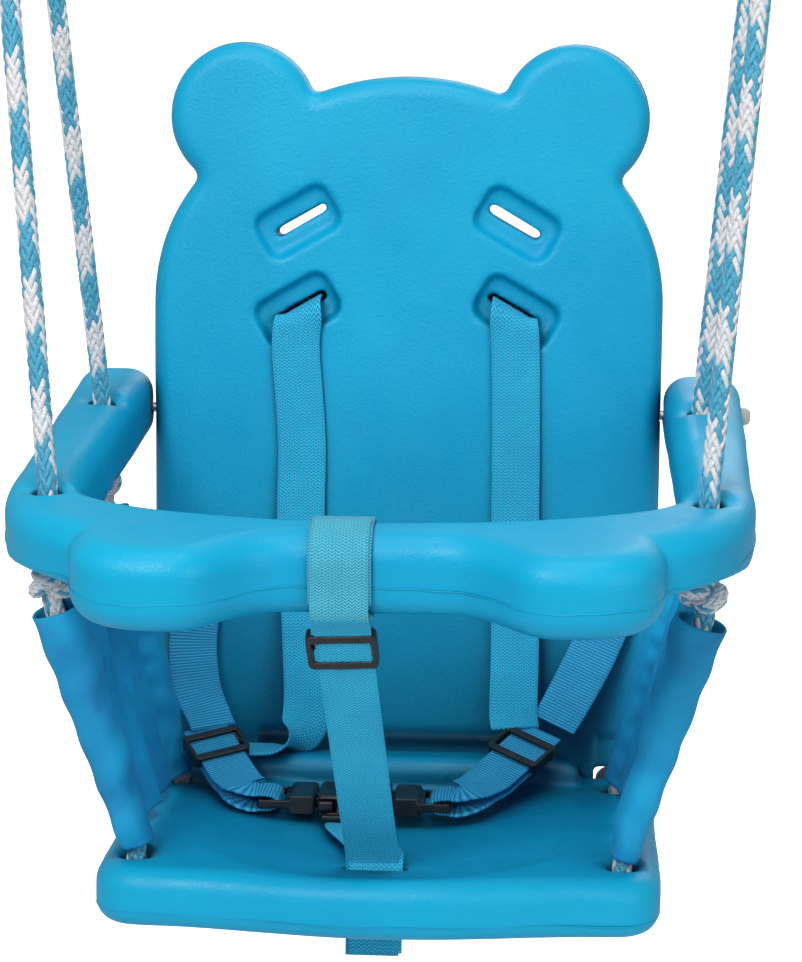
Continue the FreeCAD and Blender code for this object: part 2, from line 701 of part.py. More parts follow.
# ---- crotch strap ----
def crotch_loop():
    """Webbing round the guard's front bar, a band swept along X, and the run that hangs from it."""
    bottom = GUARD_TOP - GUARD_THICK
    width = WEB_WIDTH + 3.0
    bands = []
    for gap in (0.7, 0.7 + WEB_THICK):
        r = GUARD_EDGE_R + gap
        k = r * (1 - cos(radians(45)))
        x = CROTCH_X - width / 2.0
        y0 = BAR_FRONT - gap
        y1 = BAR_REAR + gap
        z0 = bottom - gap
        z1 = GUARD_TOP + gap
        bands.append(outline(V(x, y0, z0 + r), [
            (V(x, y0, z1 - r),), (V(x, y0 + k, z1 - k), V(x, y0 + r, z1)),
            (V(x, y1 - r, z1),), (V(x, y1 - k, z1 - k), V(x, y1, z1 - r)),
            (V(x, y1, z0 + r),), (V(x, y1 - k, z0 + k), V(x, y1 - r, z0)),
            (V(x, y0 + r, z0),), (V(x, y0 + k, z0 + k), V(x, y0, z0 + r)),
        ]))
    inner, outer = (Part.Face(band).extrude(V(width, 0, 0)) for band in bands)
    hanging = ribbon([(CROTCH_TOP, X_AXIS), (along_crotch(LOOP_END), X_AXIS)], WEB_WIDTH, WEB_THICK)
    return outer.fuse(hanging).cut(inner)


def along_crotch(share):
    return CROTCH_TOP + (CROTCH_FOOT - CROTCH_TOP) * share


def crotch_strap():
    """From the end of the loop's webbing, through the seat's slot, to a tail under the seat."""
    points = [
        along_crotch(LOOP_END + 0.01),
        CROTCH_FOOT,
        lean_point(-3.0, 1.5, -6.0),
        lean_point(-3.0, 1.5, SEAT_UNDER - 24.0),
    ]
    return ribbon([(point, X_AXIS) for point in points], WEB_WIDTH, WEB_THICK)


def crotch_stay():
    """Short webbing in two runs, in the seat frame: down through the slot, and on to the buckle hub."""
    down = [V(-1.0, -2.2, SEAT_UNDER - 18.0), V(-1.0, -2.2, -4.0)]
    back = [V(-1.0, 6.0, 4.2), V(-10, 45, 2.0), V(BUCKLE_X, BUCKLE_Y - 34.0, BUCKLE_Z - 5.0)]
    return [ribbon([(point, X_AXIS) for point in run], WEB_WIDTH, STAY_THICK) for run in (down, back)]


def stop_bar(x, y, z, tilt):
    """Webbing stop: a short bar behind a slot that the webbing is sewn round."""
    bar = box(x - 21, x + 21, y, y + 5, z - 4.5, z + 4.5)
    bar = bar.makeFillet(1.8, bar.Edges)
    bar.rotate(V(x, y, z), Y_AXIS, tilt)
    return bar


def harness_stops():
    behind = BACK_FACE + BACK_THICK + 3.0
    bars = []
    for side in (-1, 1):
        bars.append(stop_bar(side * SLOT_X, behind, SLOT_ROWS[0], side * SLOT_TILT))
        bars.append(stop_bar(side * WAIST_SLOT_X * 0.985, behind, WAIST_SLOT_Z, 0.0))
    return bars


# ---- assemble ----
def build():
    shapes["seat_pan"] = lean(seat_pan())
    shapes["backrest"] = lean(backrest())
    shapes["guard_ring"] = guard_ring()

    hung = {
        "rope_": rope(),
        "hanger_bush_": hanger_bush(),
        "thimble_": thimble(),
        "side_panel_": side_panel(),
    }
    for name, shape in hung.items():
        shapes[name + "left"] = mirrored(shape)
        shapes[name + "right"] = shape

    for name, side in (("left", -1), ("right", 1)):
        shapes["shoulder_strap_" + name] = lean(shoulder_strap(side))
        shapes["waist_strap_" + name] = lean(waist_strap(side))
        shapes["lap_web_" + name] = lean(lap_web(side))
        outer, inner = lap_path(side)
        glide_at = outer + (inner - outer) * 0.22
        shapes["tri_glide_" + name] = lean(tri_glide(glide_at, inner - outer, LAP_TURNED[side] * -side))
        shapes["buckle_tongue_" + name] = lean(buckle_tongue(side))
        for edge_name, edge in (("front", -1), ("rear", 1)):
            shapes["buckle_prong_%s_%s" % (name, edge_name)] = lean(buckle_prong(side, edge))

    pin_y, pin_z = UPPER_PIN
    upper_inner = BACK_HALF - 45.0
    upper_pin, upper_cap = pin(upper_inner, ARM_END + 0.4, pin_y, pin_z)
    lower_pin, lower_cap = pin(94.0, SEAT_HALF + 0.4, LOWER_PIN_Y, LOWER_PIN_Z)
    shapes["guard_pivot_pins"] = both_sides(upper_pin)
    shapes["seat_pivot_pins"] = both_sides(lean(lower_pin))
    shapes["pivot_pin_caps"] = both_sides(upper_cap, lean(lower_cap))
    bore = rod(PIN_R + RUNNING_GAP, V(upper_inner - 1, pin_y, pin_z), V(170, pin_y, pin_z))
    shapes["backrest"] = shapes["backrest"].cut(both_sides(bore))

    shapes["buckle_hub"] = lean(buckle_hub())
    shapes["crotch_loop"] = crotch_loop()
    shapes["crotch_strap"] = crotch_strap()
    shapes["crotch_tri_glide"] = tri_glide(along_crotch(GLIDE_AT), CROTCH_FOOT - CROTCH_TOP, X_AXIS)
    shapes["crotch_stay"] = lean(Part.makeCompound(crotch_stay()))
    shapes["harness_stops"] = lean(Part.makeCompound(harness_stops()))


def both_sides(*solids):
    return Part.makeCompound([s for solid in solids for s in (solid, mirrored(solid))])


def write():
    """Shift everything so the origin is the bottom centre of the bounding box, and write each node."""
    bounds = Part.makeCompound(list(shapes.values())).optimalBoundingBox(False)
    shift = V(-(bounds.XMin + bounds.XMax) / 2.0, -(bounds.YMin + bounds.YMax) / 2.0, -bounds.ZMin)
    os.makedirs("parts", exist_ok=True)
    for name, shape in shapes.items():
        moved = shape.copy()
        moved.translate(shift)
        moved.exportStep("parts/%s.step" % name)
    print("shift", shift, "size", bounds.XLength, bounds.YLength, bounds.ZLength)


build()
write()
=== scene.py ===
"""Looks of the toddler bucket swing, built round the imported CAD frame. Metres, +X right, +Y back, +Z up."""
import json
from math import atan2, cos, pi, radians, sin

import bmesh
import bpy
import numpy as np
from mathutils import Euler, Matrix, Vector


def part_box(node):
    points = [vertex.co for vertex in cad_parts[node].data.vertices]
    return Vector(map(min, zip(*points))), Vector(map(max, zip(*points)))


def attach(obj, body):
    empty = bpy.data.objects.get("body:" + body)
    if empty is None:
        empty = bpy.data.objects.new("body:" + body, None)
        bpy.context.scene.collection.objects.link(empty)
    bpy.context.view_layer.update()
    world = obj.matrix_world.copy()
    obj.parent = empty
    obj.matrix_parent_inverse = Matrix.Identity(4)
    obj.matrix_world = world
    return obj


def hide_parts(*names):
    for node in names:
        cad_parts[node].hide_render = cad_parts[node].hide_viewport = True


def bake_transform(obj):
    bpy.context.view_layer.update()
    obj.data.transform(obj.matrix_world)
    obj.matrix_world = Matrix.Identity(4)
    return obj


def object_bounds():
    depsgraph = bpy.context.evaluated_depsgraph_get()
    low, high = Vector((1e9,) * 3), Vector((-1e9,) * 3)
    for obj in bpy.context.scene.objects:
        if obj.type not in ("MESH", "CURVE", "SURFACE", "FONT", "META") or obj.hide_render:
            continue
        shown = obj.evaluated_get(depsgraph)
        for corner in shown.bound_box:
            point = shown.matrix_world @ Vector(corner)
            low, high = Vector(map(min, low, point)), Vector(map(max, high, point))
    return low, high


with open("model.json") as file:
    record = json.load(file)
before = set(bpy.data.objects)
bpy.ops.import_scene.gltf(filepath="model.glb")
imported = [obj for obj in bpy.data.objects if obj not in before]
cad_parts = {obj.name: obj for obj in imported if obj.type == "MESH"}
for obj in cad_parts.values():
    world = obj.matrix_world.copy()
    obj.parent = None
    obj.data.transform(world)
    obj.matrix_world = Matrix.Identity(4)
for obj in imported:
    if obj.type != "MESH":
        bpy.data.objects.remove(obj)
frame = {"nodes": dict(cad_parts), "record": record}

CAD_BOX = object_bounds()
NODES = frame["nodes"]
RECORD = frame["record"]
MM = 0.001

# ---- driving values, in metres ----
RECLINE = radians(8.5)                       # lean of the seat and backrest
SEAT_ORIGIN = Vector((0.0, -0.0909, 0.0785))   # the seat frame's origin, between the front rope holes
SEAT_TOP = 0.005                             # top and underside of the seat pan, in the seat frame
SEAT_UNDER = -0.029
SEAT_HOLE_X = 0.136
SEAT_HOLE_PITCH = 0.173
GUARD_HOLES = ((0.177, -0.0979), (0.181, 0.0941))
ROPE_R = 0.006
ROPE_BEND_R = 0.020
WEB_WIDTH = 0.030
WEB_THICK = 0.0019
BACK_FACE = 0.209                            # backrest's front face, in the seat frame
BACK_THICK = 0.030
SLOT_X = 0.0665
SLOT_ROWS = (0.297, 0.3515)
SLOT_TILT = radians(30)
WAIST_SLOT = (0.130, 0.118)
BUCKLE = Vector((-0.022, 0.116, 0.008))      # middle of the buckle hub, in the seat frame
TONGUE_BAR = 0.04875                         # from the buckle's middle to the bar the webbing turns round
LAP_END = 0.066                              # from the buckle's middle to the end of the webbing's line
LAP_OUTER = {-1: (-118.0, 164.0, 35.0), 1: (86.0, 168.0, 37.0)}       # its outer end, seat frame, mm
LAP_TURNED = {-1: (0.87, 0.476, 0.138), 1: (0.81, -0.53, -0.23)}      # its width's direction there
BAR_FRONT = -0.1801                          # faces of the guard's front bar, in the row frame
BAR_REAR = -0.1385
CROTCH_SLOT = (-0.003, 0.0015)               # where the crotch strap meets the seat, in the seat frame

GUARD_LOW, GUARD_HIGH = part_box("guard_ring")
KNOT_DROP = 0.009                            # a guard knot's middle below the ring
ROPE_DROP = 0.020                            # upright run of rope below the ring
FOOT_KNOT = {"front": 0.0075, "rear": -0.0085}    # a foot knot's middle above the seat's underside
FOOT_END = {"front": 0.0015, "rear": -0.0235}     # a rope's end above the seat's underside
HOLE_Y = {"front": 0.0, "rear": SEAT_HOLE_PITCH}
BRAID_R = ROPE_R - 0.0003                    # a braid's outer radius, inside the rope's bore
BRAID_PITCH = 0.059
KNOT_SIZE = 0.0093
KNOT_ROPE_R = 0.0047
MOUNTS = {mount["name"]: mount for mount in RECORD["mounts"]}
HANG = Vector(MOUNTS["hang_right"]["pos_m"])

VIEW_FROM = (0.1008, -1.4495, 0.6986)
VIEW_DOWN = 16.2                             # degrees the camera looks down, and turns aside
VIEW_ASIDE = 3.7
VIEW_LENS = 99.17


# ---- places ----
def lean_turn():
    return Matrix.Rotation(-RECLINE, 3, "X")


def seat_point(x, y, z):
    """A point of the leaning seat frame, in the row frame."""
    return SEAT_ORIGIN + lean_turn() @ Vector((x, y, z))


def seat_dir(x, y, z):
    return lean_turn() @ Vector((x, y, z))


def side_sign(name):
    return -1 if name == "left" else 1


# ---- mesh helpers ----
def add_object(name, points, faces, materials, face_material=None, uv=None, smooth=True):
    """New mesh object. uv is one pair per point."""
    mesh = bpy.data.meshes.new(name)
    mesh.from_pydata([tuple(p) for p in points], [], [tuple(f) for f in faces])
    mesh.validate()
    for material in materials:
        mesh.materials.append(material)
    if face_material is not None:
        mesh.polygons.foreach_set("material_index", np.asarray(face_material, np.int32))
    if uv is not None:
        layer = mesh.uv_layers.new(name="strip")
        corner = np.zeros(len(mesh.loops), np.int32)
        mesh.loops.foreach_get("vertex_index", corner)
        layer.data.foreach_set("uv", np.asarray(uv, np.float32)[corner].ravel())
    mesh.polygons.foreach_set("use_smooth", [smooth] * len(mesh.polygons))
    mesh.update()
    piece = bpy.data.objects.new(name, mesh)
    bpy.context.scene.collection.objects.link(piece)
    return piece


def apply_modifiers(piece):
    bpy.context.view_layer.update()
    graph = bpy.context.evaluated_depsgraph_get()
    final = bpy.data.meshes.new_from_object(piece.evaluated_get(graph))
    final.name = piece.name
    piece.modifiers.clear()
    piece.data = final
    return piece


def join(name, pieces):
    """One object from several; shells stay separate inside it."""
    bpy.ops.object.select_all(action="DESELECT")
    for piece in pieces:
        piece.select_set(True)
    bpy.context.view_layer.objects.active = pieces[0]
    bpy.ops.object.join()
    pieces[0].name = name
    return pieces[0]


def welded_copy(node, name):
    """The CAD node's mesh with its corners joined up, as a new object."""
    build = bmesh.new()
    build.from_mesh(NODES[node].data)
    bmesh.ops.remove_doubles(build, verts=build.verts, dist=1e-6)
    mesh = bpy.data.meshes.new(name)
    build.to_mesh(mesh)
    build.free()
    mesh.materials.clear()
    piece = bpy.data.objects.new(name, mesh)
    bpy.context.scene.collection.objects.link(piece)
    return piece


def softened(node, name, voxel, rounds, material):
    """The CAD node's shape remeshed evenly, with its edges softened as a moulding's are."""
    piece = welded_copy(node, name)
    remesh = piece.modifiers.new("remesh", "REMESH")
    remesh.mode = "VOXEL"
    remesh.voxel_size = voxel
    remesh.adaptivity = 0.0
    ease = piece.modifiers.new("ease", "SMOOTH")
    ease.factor = 0.5
    ease.iterations = rounds
    apply_modifiers(piece)
    piece.data.materials.clear()
    piece.data.materials.append(material)
    shade_smooth(piece)
    return piece


def shade_smooth(piece):
    piece.data.polygons.foreach_set("use_smooth", [True] * len(piece.data.polygons))


def get_points(piece):
    co = np.zeros(len(piece.data.vertices) * 3, np.float64)
    piece.data.vertices.foreach_get("co", co)
    return co.reshape(-1, 3)


def get_normals(piece):
    no = np.zeros(len(piece.data.vertices) * 3, np.float64)
    piece.data.vertices.foreach_get("normal", no)
    return no.reshape(-1, 3)


def set_points(piece, points):
    piece.data.vertices.foreach_set("co", points.astype(np.float32).ravel())
    piece.data.update()


def finish_piece(piece, body, replaces=()):
    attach(piece, body)
    if replaces:
        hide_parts(*replaces)
    return piece


# ---- curves as arrays of points ----
def spline(points, step):
    """Smooth curve through the points (Catmull-Rom), sampled about every step. Extra columns ride along."""
    p = np.array([list(q) for q in points], float)
    p = np.vstack([2 * p[0] - p[1], p, 2 * p[-1] - p[-2]])
    out = []
    for i in range(1, len(p) - 2):
        length = np.linalg.norm(p[i + 1, :3] - p[i, :3])
        count = max(2, int(round(length / step)))
        t = np.linspace(0, 1, count, endpoint=False)[:, None]
        a, b, c, d = p[i - 1], p[i], p[i + 1], p[i + 2]
        out.append(0.5 * (2 * b + (c - a) * t + (2 * a - 5 * b + 4 * c - d) * t ** 2
                          + (3 * b - a - 3 * c + d) * t ** 3))
    out.append(p[-2][None, :])
    return np.vstack(out)


def resample(points, step):
    """Same polyline with evenly spaced points."""
    p = np.asarray(points, float)
    lengths = np.concatenate([[0], np.cumsum(np.linalg.norm(np.diff(p[:, :3], axis=0), axis=1))])
    count = max(3, int(round(lengths[-1] / step)) + 1)
    s = np.linspace(0, lengths[-1], count)
    return np.stack([np.interp(s, lengths, p[:, k]) for k in range(p.shape[1])], axis=1)


def eased(points, reach):
    """Polyline with its corners rounded by averaging over reach samples each way; the ends stay put."""
    p = np.asarray(points, float)
    width = 2 * reach + 1
    kernel = np.hanning(width + 2)[1:-1]
    kernel /= kernel.sum()
    head = 2 * p[0] - p[reach:0:-1]
    tail = 2 * p[-1] - p[-2:-reach - 2:-1]
    padded = np.vstack([head, p, tail])
    return np.stack([np.convolve(padded[:, k], kernel, "valid") for k in range(p.shape[1])], axis=1)


def unit(rows):
    return rows / np.linalg.norm(rows, axis=-1, keepdims=True)


def tangents(points):
    return unit(np.gradient(points, axis=0))


def tube_faces(rings, around, start=0):
    """Quads of a tube of rings x around points, with both ends closed."""
    i = np.arange(rings - 1)[:, None] * around
    j = np.arange(around)[None, :]
    k = (j + 1) % around
    quads = np.stack([i + j, i + k, i + around + k, i + around + j], axis=-1).reshape(-1, 4) + start
    last = start + (rings - 1) * around
    caps = [list(range(start + around - 1, start - 1, -1)), list(range(last, last + around))]
    return quads.tolist() + caps


# ---- materials ----
class Shader:
    """Short way to write a node material."""

    def __init__(self, name, roughness, color=(0.5, 0.5, 0.5)):
        self.material = bpy.data.materials.new(name)
        self.material.use_nodes = True
        self.tree = self.material.node_tree
        self.surface = self.tree.nodes["Principled BSDF"]
        self.surface.inputs["Roughness"].default_value = roughness
        self.surface.inputs["Base Color"].default_value = (*color, 1)

    def node(self, kind, inputs=None, **settings):
        made = self.tree.nodes.new(kind)
        for key, value in settings.items():
            setattr(made, key, value)
        for key, value in (inputs or {}).items():
            self.feed(made.inputs[key], value)
        return made

    def feed(self, socket, value):
        if isinstance(value, bpy.types.NodeSocket):
            self.tree.links.new(value, socket)
        else:
            socket.default_value = value

    def math(self, operation, a, b=0.0, c=0.0):
        return self.node("ShaderNodeMath", {0: a, 1: b, 2: c}, operation=operation).outputs[0]

    def coords(self, kind="Object"):
        return self.node("ShaderNodeTexCoord").outputs[kind]

    def noise(self, scale, detail=2.0, vector=None, rough=0.5):
        inputs = {"Scale": scale, "Detail": detail, "Roughness": rough, "Vector": vector or self.coords()}
        return self.node("ShaderNodeTexNoise", inputs).outputs["Fac"]

    def ramp(self, value, low, high, out_low=0.0, out_high=1.0):
        inputs = {"Value": value, "From Min": low, "From Max": high, "To Min": out_low, "To Max": out_high}
        return self.node("ShaderNodeMapRange", inputs).outputs["Result"]

    def mix(self, share, a, b):
        mixer = self.node("ShaderNodeMix", data_type="RGBA")
        self.feed(mixer.inputs["Factor"], share)
        self.feed(mixer.inputs[6], a if isinstance(a, bpy.types.NodeSocket) else (*a, 1))
        self.feed(mixer.inputs[7], b if isinstance(b, bpy.types.NodeSocket) else (*b, 1))
        return mixer.outputs[2]

    def bump(self, height, distance, strength=1.0, below=None):
        inputs = {"Height": height, "Distance": distance, "Strength": strength}
        if below is not None:
            inputs["Normal"] = below
        return self.node("ShaderNodeBump", inputs).outputs["Normal"]

    def shaded(self, color, reach, darkest):
        """Colour deepened in hollows, as it looks where little light gets in."""
        open_share = self.node("ShaderNodeAmbientOcclusion", {"Distance": reach}, samples=6).outputs["AO"]
        keep = self.ramp(open_share, 0.20, 0.62, darkest, 1.0)
        return self.mix(keep, (0.0, 0.022, 0.070), color)

    def set(self, **inputs):
        for key, value in inputs.items():
            self.feed(self.surface.inputs[key.replace("_", " ")], value)
        return self


def moulded_plastic():
    s = Shader("moulded_plastic", 0.5)
    patchy = s.noise(9.0, 3.0)
    streak = s.noise(40.0, 2.0)
    color = s.mix(s.ramp(patchy, 0.35, 0.65), PLASTIC_DEEP, PLASTIC_LIGHT)
    edge = s.node("ShaderNodeNewGeometry").outputs["Pointiness"]
    color = s.mix(s.ramp(edge, 0.515, 0.60, 0.0, 0.35), color, PLASTIC_WORN)
    # Painted shade: concave creases, where pointiness is low, darken towards a shaded copy of the blue.
    color = s.mix(s.ramp(edge, 0.49, 0.40, 0.0, 0.30), color, PLASTIC_PAINTED_SHADE)
    pebble = s.node("ShaderNodeTexVoronoi", {"Scale": 520.0, "Vector": s.coords(), "Smoothness": 0.6},
                    feature="SMOOTH_F1").outputs["Distance"]
    grain = s.math("MULTIPLY_ADD", pebble, 0.8, s.noise(1100.0, 2.0))
    normal = s.bump(s.noise(55.0, 2.0), 0.0012, 0.12)
    normal = s.bump(grain, 0.00030, 0.50, normal)
    color = s.shaded(color, 0.30, 0.16)
    return s.set(Base_Color=color, Roughness=s.ramp(streak, 0.3, 0.7, 0.36, 0.50), Normal=normal,
                 Specular_IOR_Level=0.30).material


def strip_axes(s):
    """Across and along coordinates of a strap, in metres."""
    split = s.node("ShaderNodeSeparateXYZ", {0: s.coords("UV")})
    return split.outputs[0], split.outputs[1]


def webbing(name, dark_and_crevice_shade_tone, rib_highlight_tone, rib=0.0016, column=0.0034, slant=0.9):
    """Herringbone webbing: columns across the strap whose ribs slant alternately."""
    s = Shader(name, 0.7)
    across, along = strip_axes(s)
    saw = s.math("PINGPONG", s.math("DIVIDE", across, column), 0.5)
    phase = s.math("MULTIPLY_ADD", saw, slant * 2.0, s.math("DIVIDE", along, rib))
    ribs = s.math("SINE", s.math("MULTIPLY", phase, 2 * pi))
    columns = s.math("ABSOLUTE", s.math("SINE", s.math("MULTIPLY", across, 2 * pi / column)))
    height = s.math("MULTIPLY", s.ramp(ribs, -1.0, 1.0), s.ramp(columns, 0.0, 0.6, 0.45, 1.0))
    # The colour follows the ribs' height: painted shade in the crevices between ribs and painted highlight on
    # their tops. The noise patches below are the webbing's own uneven tone.
    tone = s.mix(s.ramp(height, 0.1, 0.9), dark_and_crevice_shade_tone, rib_highlight_tone)
    patch = s.mix(s.ramp(s.noise(60.0, 3.0), 0.3, 0.7), tone, s.mix(0.25, tone, dark_and_crevice_shade_tone))
    fuzz = s.noise(2600.0, 2.0)
    normal = s.bump(height, 0.00045, 0.9)
    normal = s.bump(fuzz, 0.00010, 0.5, normal)
    return s.set(Base_Color=patch, Roughness=0.68, Sheen_Weight=0.04, Sheen_Roughness=0.5,
                 Normal=normal).material


def side_fabric():
    s = Shader("side_fabric", 0.72)
    across, along = strip_axes(s)
    warp = s.math("SINE", s.math("MULTIPLY", across, 2 * pi / 0.0009))
    weft = s.math("SINE", s.math("MULTIPLY", along, 2 * pi / 0.0009))
    weave = s.math("MULTIPLY", warp, weft)
    color = s.mix(s.ramp(s.noise(22.0, 3.0), 0.3, 0.7), FABRIC_DEEP, FABRIC_LIGHT)
    color = s.mix(s.ramp(weave, -1.0, 1.0, 0.0, 0.25), color, FABRIC_DEEP)
    normal = s.bump(s.noise(130.0, 3.0), 0.0015, 0.25)
    normal = s.bump(weave, 0.00012, 0.6, normal)
    return s.set(Base_Color=color, Normal=normal, Sheen_Weight=0.02, Sheen_Roughness=0.4).material


def rope_yarn(name, low, high):
    s = Shader(name, 0.5)
    around, along = strip_axes(s)
    twist = s.math("MULTIPLY_ADD", along, 1400.0, s.math("MULTIPLY", around, 3.0))
    fibres = s.math("SINE", s.math("MULTIPLY", twist, 2 * pi / 1.0))
    tone = s.math("ADD", s.noise(900.0, 3.0), s.math("MULTIPLY", fibres, 0.12))
    color = s.mix(s.ramp(tone, 0.3, 0.75), low, high)
    normal = s.bump(fibres, 0.00010, 0.5)
    return s.set(Base_Color=color, Roughness=0.42, Sheen_Weight=0.3, Normal=normal,
                 Specular_IOR_Level=0.6).material


def hard_plastic(name, low, high, roughness):
    s = Shader(name, roughness)
    color = s.mix(s.ramp(s.noise(90.0, 3.0), 0.3, 0.7), low, high)
    edge = s.node("ShaderNodeNewGeometry").outputs["Pointiness"]
    worn = tuple(min(1.0, c * 2 + 0.05) for c in high)
    color = s.mix(s.ramp(edge, 0.53, 0.62, 0.0, 0.35), color, worn)
    normal = s.bump(s.noise(1400.0, 2.0), 0.00008, 0.5)
    rough = s.ramp(s.noise(60.0, 2.0), 0.3, 0.7, roughness - 0.07, roughness + 0.07)
    return s.set(Base_Color=color, Roughness=rough, Normal=normal).material


def zinc_steel():
    s = Shader("zinc_steel", 0.35, (0.55, 0.56, 0.58))
    brushed = s.noise(300.0, 4.0)
    return s.set(Metallic=1.0, Roughness=s.ramp(brushed, 0.3, 0.7, 0.28, 0.48),
                 Normal=s.bump(brushed, 0.00005, 0.4)).material


PLASTIC_DEEP = (0.000, 0.370, 0.640)
PLASTIC_LIGHT = (0.001, 0.425, 0.690)
PLASTIC_WORN = (0.02, 0.50, 0.74)
# shaded copy of the blue, painted into the moulding's creases
PLASTIC_PAINTED_SHADE = (0.000, 0.24, 0.46)
FABRIC_DEEP = (0.000, 0.230, 0.500)
FABRIC_LIGHT = (0.001, 0.460, 0.800)

PLASTIC = moulded_plastic()
WEB = webbing("webbing", (0.002, 0.260, 0.560), (0.035, 0.780, 1.000), rib=0.0020, column=0.0030)
# Greyer, lighter copy of the webbing for what lies over the guard's front bar: painted light from above.
WEB_TOP_LIT = webbing("webbing_bar_loop_top_lit", (0.015, 0.280, 0.440), (0.130, 0.720, 0.900))
WEB_RIB = webbing("webbing_ribbed", (0.002, 0.190, 0.430), (0.040, 0.650, 1.000), rib=0.0019,
                  column=0.0022, slant=0.25)
FABRIC = side_fabric()
ROPE_BLUE = rope_yarn("rope_blue", (0.020, 0.260, 0.430), (0.100, 0.520, 0.700))
ROPE_WHITE = rope_yarn("rope_white", (0.60, 0.60, 0.61), (0.92, 0.92, 0.92))
BLACK = hard_plastic("black_plastic", (0.006, 0.006, 0.007), (0.014, 0.014, 0.016), 0.36)
BEIGE = hard_plastic("pale_nylon", (0.50, 0.47, 0.42), (0.62, 0.60, 0.55), 0.42)
STEEL = zinc_steel()


# ---- parting lines ----
def cut_loops(piece, at, normal):
    """Closed loops where a plane cuts a welded mesh, each an array of points."""
    build = bmesh.new()
    build.from_mesh(piece.data)
    geometry = build.verts[:] + build.edges[:] + build.faces[:]
    cut = bmesh.ops.bisect_plane(build, geom=geometry, dist=1e-7, plane_co=at, plane_no=normal)["geom_cut"]
    edges = [item for item in cut if isinstance(item, bmesh.types.BMEdge)]
    beside = {}
    for edge in edges:
        one, other = edge.verts
        beside.setdefault(one, []).append(other)
        beside.setdefault(other, []).append(one)
    loops = []
    unused = dict.fromkeys(sorted(beside, key=lambda v: (v.co.x, v.co.y, v.co.z)))
    while unused:
        here = next(iter(unused))
        loop = []
        while here is not None:
            unused.pop(here)
            loop.append(here.co.copy())
            here = next((v for v in beside[here] if v in unused), None)
        loops.append(np.array(loop))
    build.free()
    return loops


def bead(name, loop, normal, radius, material, wobble=None):
    """Thin round bead along a closed loop, as left where two mould halves meet."""
    closed = np.vstack([loop, loop[:1]])
    even = resample(closed, 0.003)[:-1]
    if wobble is not None:
        even = wobble(even)
    count = len(even)
    t = unit(np.roll(even, -1, 0) - np.roll(even, 1, 0))
    up = np.tile(np.array(normal, float), (count, 1))
    up = unit(up - t * np.sum(up * t, axis=1, keepdims=True))
    side = np.cross(t, up)
    around = 6
    points = []
    for k in range(around):
        a = 2 * pi * k / around
        points.append(even + radius * (cos(a) * side + sin(a) * up))
    points = np.stack(points, axis=1).reshape(-1, 3)
    faces = []
    for i in range(count):
        n = (i + 1) % count
        for k in range(around):
            m = (k + 1) % around
            faces.append((i * around + k, i * around + m, n * around + m, n * around + k))
    return add_object(name, points, faces, [material])


def wandering(*waves):
    """Lets a line's height drift a little along X: one (height, pitch) per wave."""
    def wander(line):
        line = line.copy()
        for height, pitch in waves:
            line[:, 2] += height * np.sin(line[:, 0] * 2 * pi / pitch)
        return line
    return wander


def parting_line(node, name, at, normal, radius, min_length, wobble=None):
    """Beads where the node's surface meets a plane."""
    shape = welded_copy(node, name + "_shape")
    beads = []
    for index, loop in enumerate(cut_loops(shape, at, normal)):
        length = np.sum(np.linalg.norm(np.diff(loop, axis=0), axis=1))
        if length > min_length:
            beads.append(bead("%s_%d" % (name, index), loop, normal, radius, PLASTIC, wobble))
    bpy.data.objects.remove(shape)
    return beads


# ---- moulded parts ----
def near_axis(points, at, direction):
    """Distance from a line, and place along it, of each point."""
    d = np.array(direction, float) / np.linalg.norm(direction)
    rel = points - np.array(at, float)
    along = rel @ d
    return np.linalg.norm(rel - np.outer(along, d), axis=1), along


def fall(distance, inner, outer):
    """1 inside inner, 0 beyond outer, smooth between."""
    t = np.clip((outer - distance) / (outer - inner), 0, 1)
    return t * t * (3 - 2 * t)


def slow_waves(points, pitch, height, seed):
    """Gentle unevenness of a blown wall."""
    rng = np.random.default_rng(seed)
    total = np.zeros(len(points))
    for _ in range(7):
        d = unit(rng.normal(size=3))
        total += np.sin(points @ d * 2 * pi / (pitch * rng.uniform(0.7, 1.6)) + rng.uniform(0, 2 * pi))
    return total * height / 7


def guard_ring():
    ring = softened("guard_ring", "guard_ring_shell", 0.0015, 5, PLASTIC)
    p = get_points(ring)
    n = get_normals(ring)
    p = p + n * slow_waves(p, 0.07, 0.0006, 3)[:, None]
    for sign in (-1, 1):
        for x, y in GUARD_HOLES:
            off, _ = near_axis(p, (sign * x, y, 0), (0, 0, 1))
            dent = fall(off, 0.007, 0.019) * fall(GUARD_HIGH.z - p[:, 2], 0.004, 0.016)
            p[:, 2] -= 0.0035 * dent
    set_points(ring, p)
    at = (0, 0, GUARD_LOW.z + 0.0175)
    wander = wandering((0.0004, 0.055), (0.0002, 0.021))
    lines = parting_line("guard_ring", "guard_ring_line", at, (0, 0, 1), 0.00045, 0.4, wander)
    ring = join("guard_ring_moulding", [ring] + lines)
    finish_piece(ring, "guard", ["guard_ring"])


def seat_pan():
    pan = softened("seat_pan", "seat_pan_shell", 0.0017, 6, PLASTIC)
    p = get_points(pan)
    p = p + get_normals(pan) * slow_waves(p, 0.08, 0.0007, 5)[:, None]
    up = seat_dir(0, 0, 1)
    for sign in (-1, 1):
        for y in HOLE_Y.values():
            off, along = near_axis(p, seat_point(sign * SEAT_HOLE_X, y, 0), up)
            dent = fall(off, 0.007, 0.018) * fall(-along, 0.002, 0.012)
            p -= np.outer(dent * 0.0025, np.array(up))
    set_points(pan, p)
    at = seat_point(0, 0, SEAT_UNDER + 0.0095)
    lines = parting_line("seat_pan", "seat_pan_line", at, up, 0.0004, 0.6, wandering((0.0004, 0.075)))
    pan = join("seat_pan_moulding", [pan] + lines)
    finish_piece(pan, "seat", ["seat_pan"])


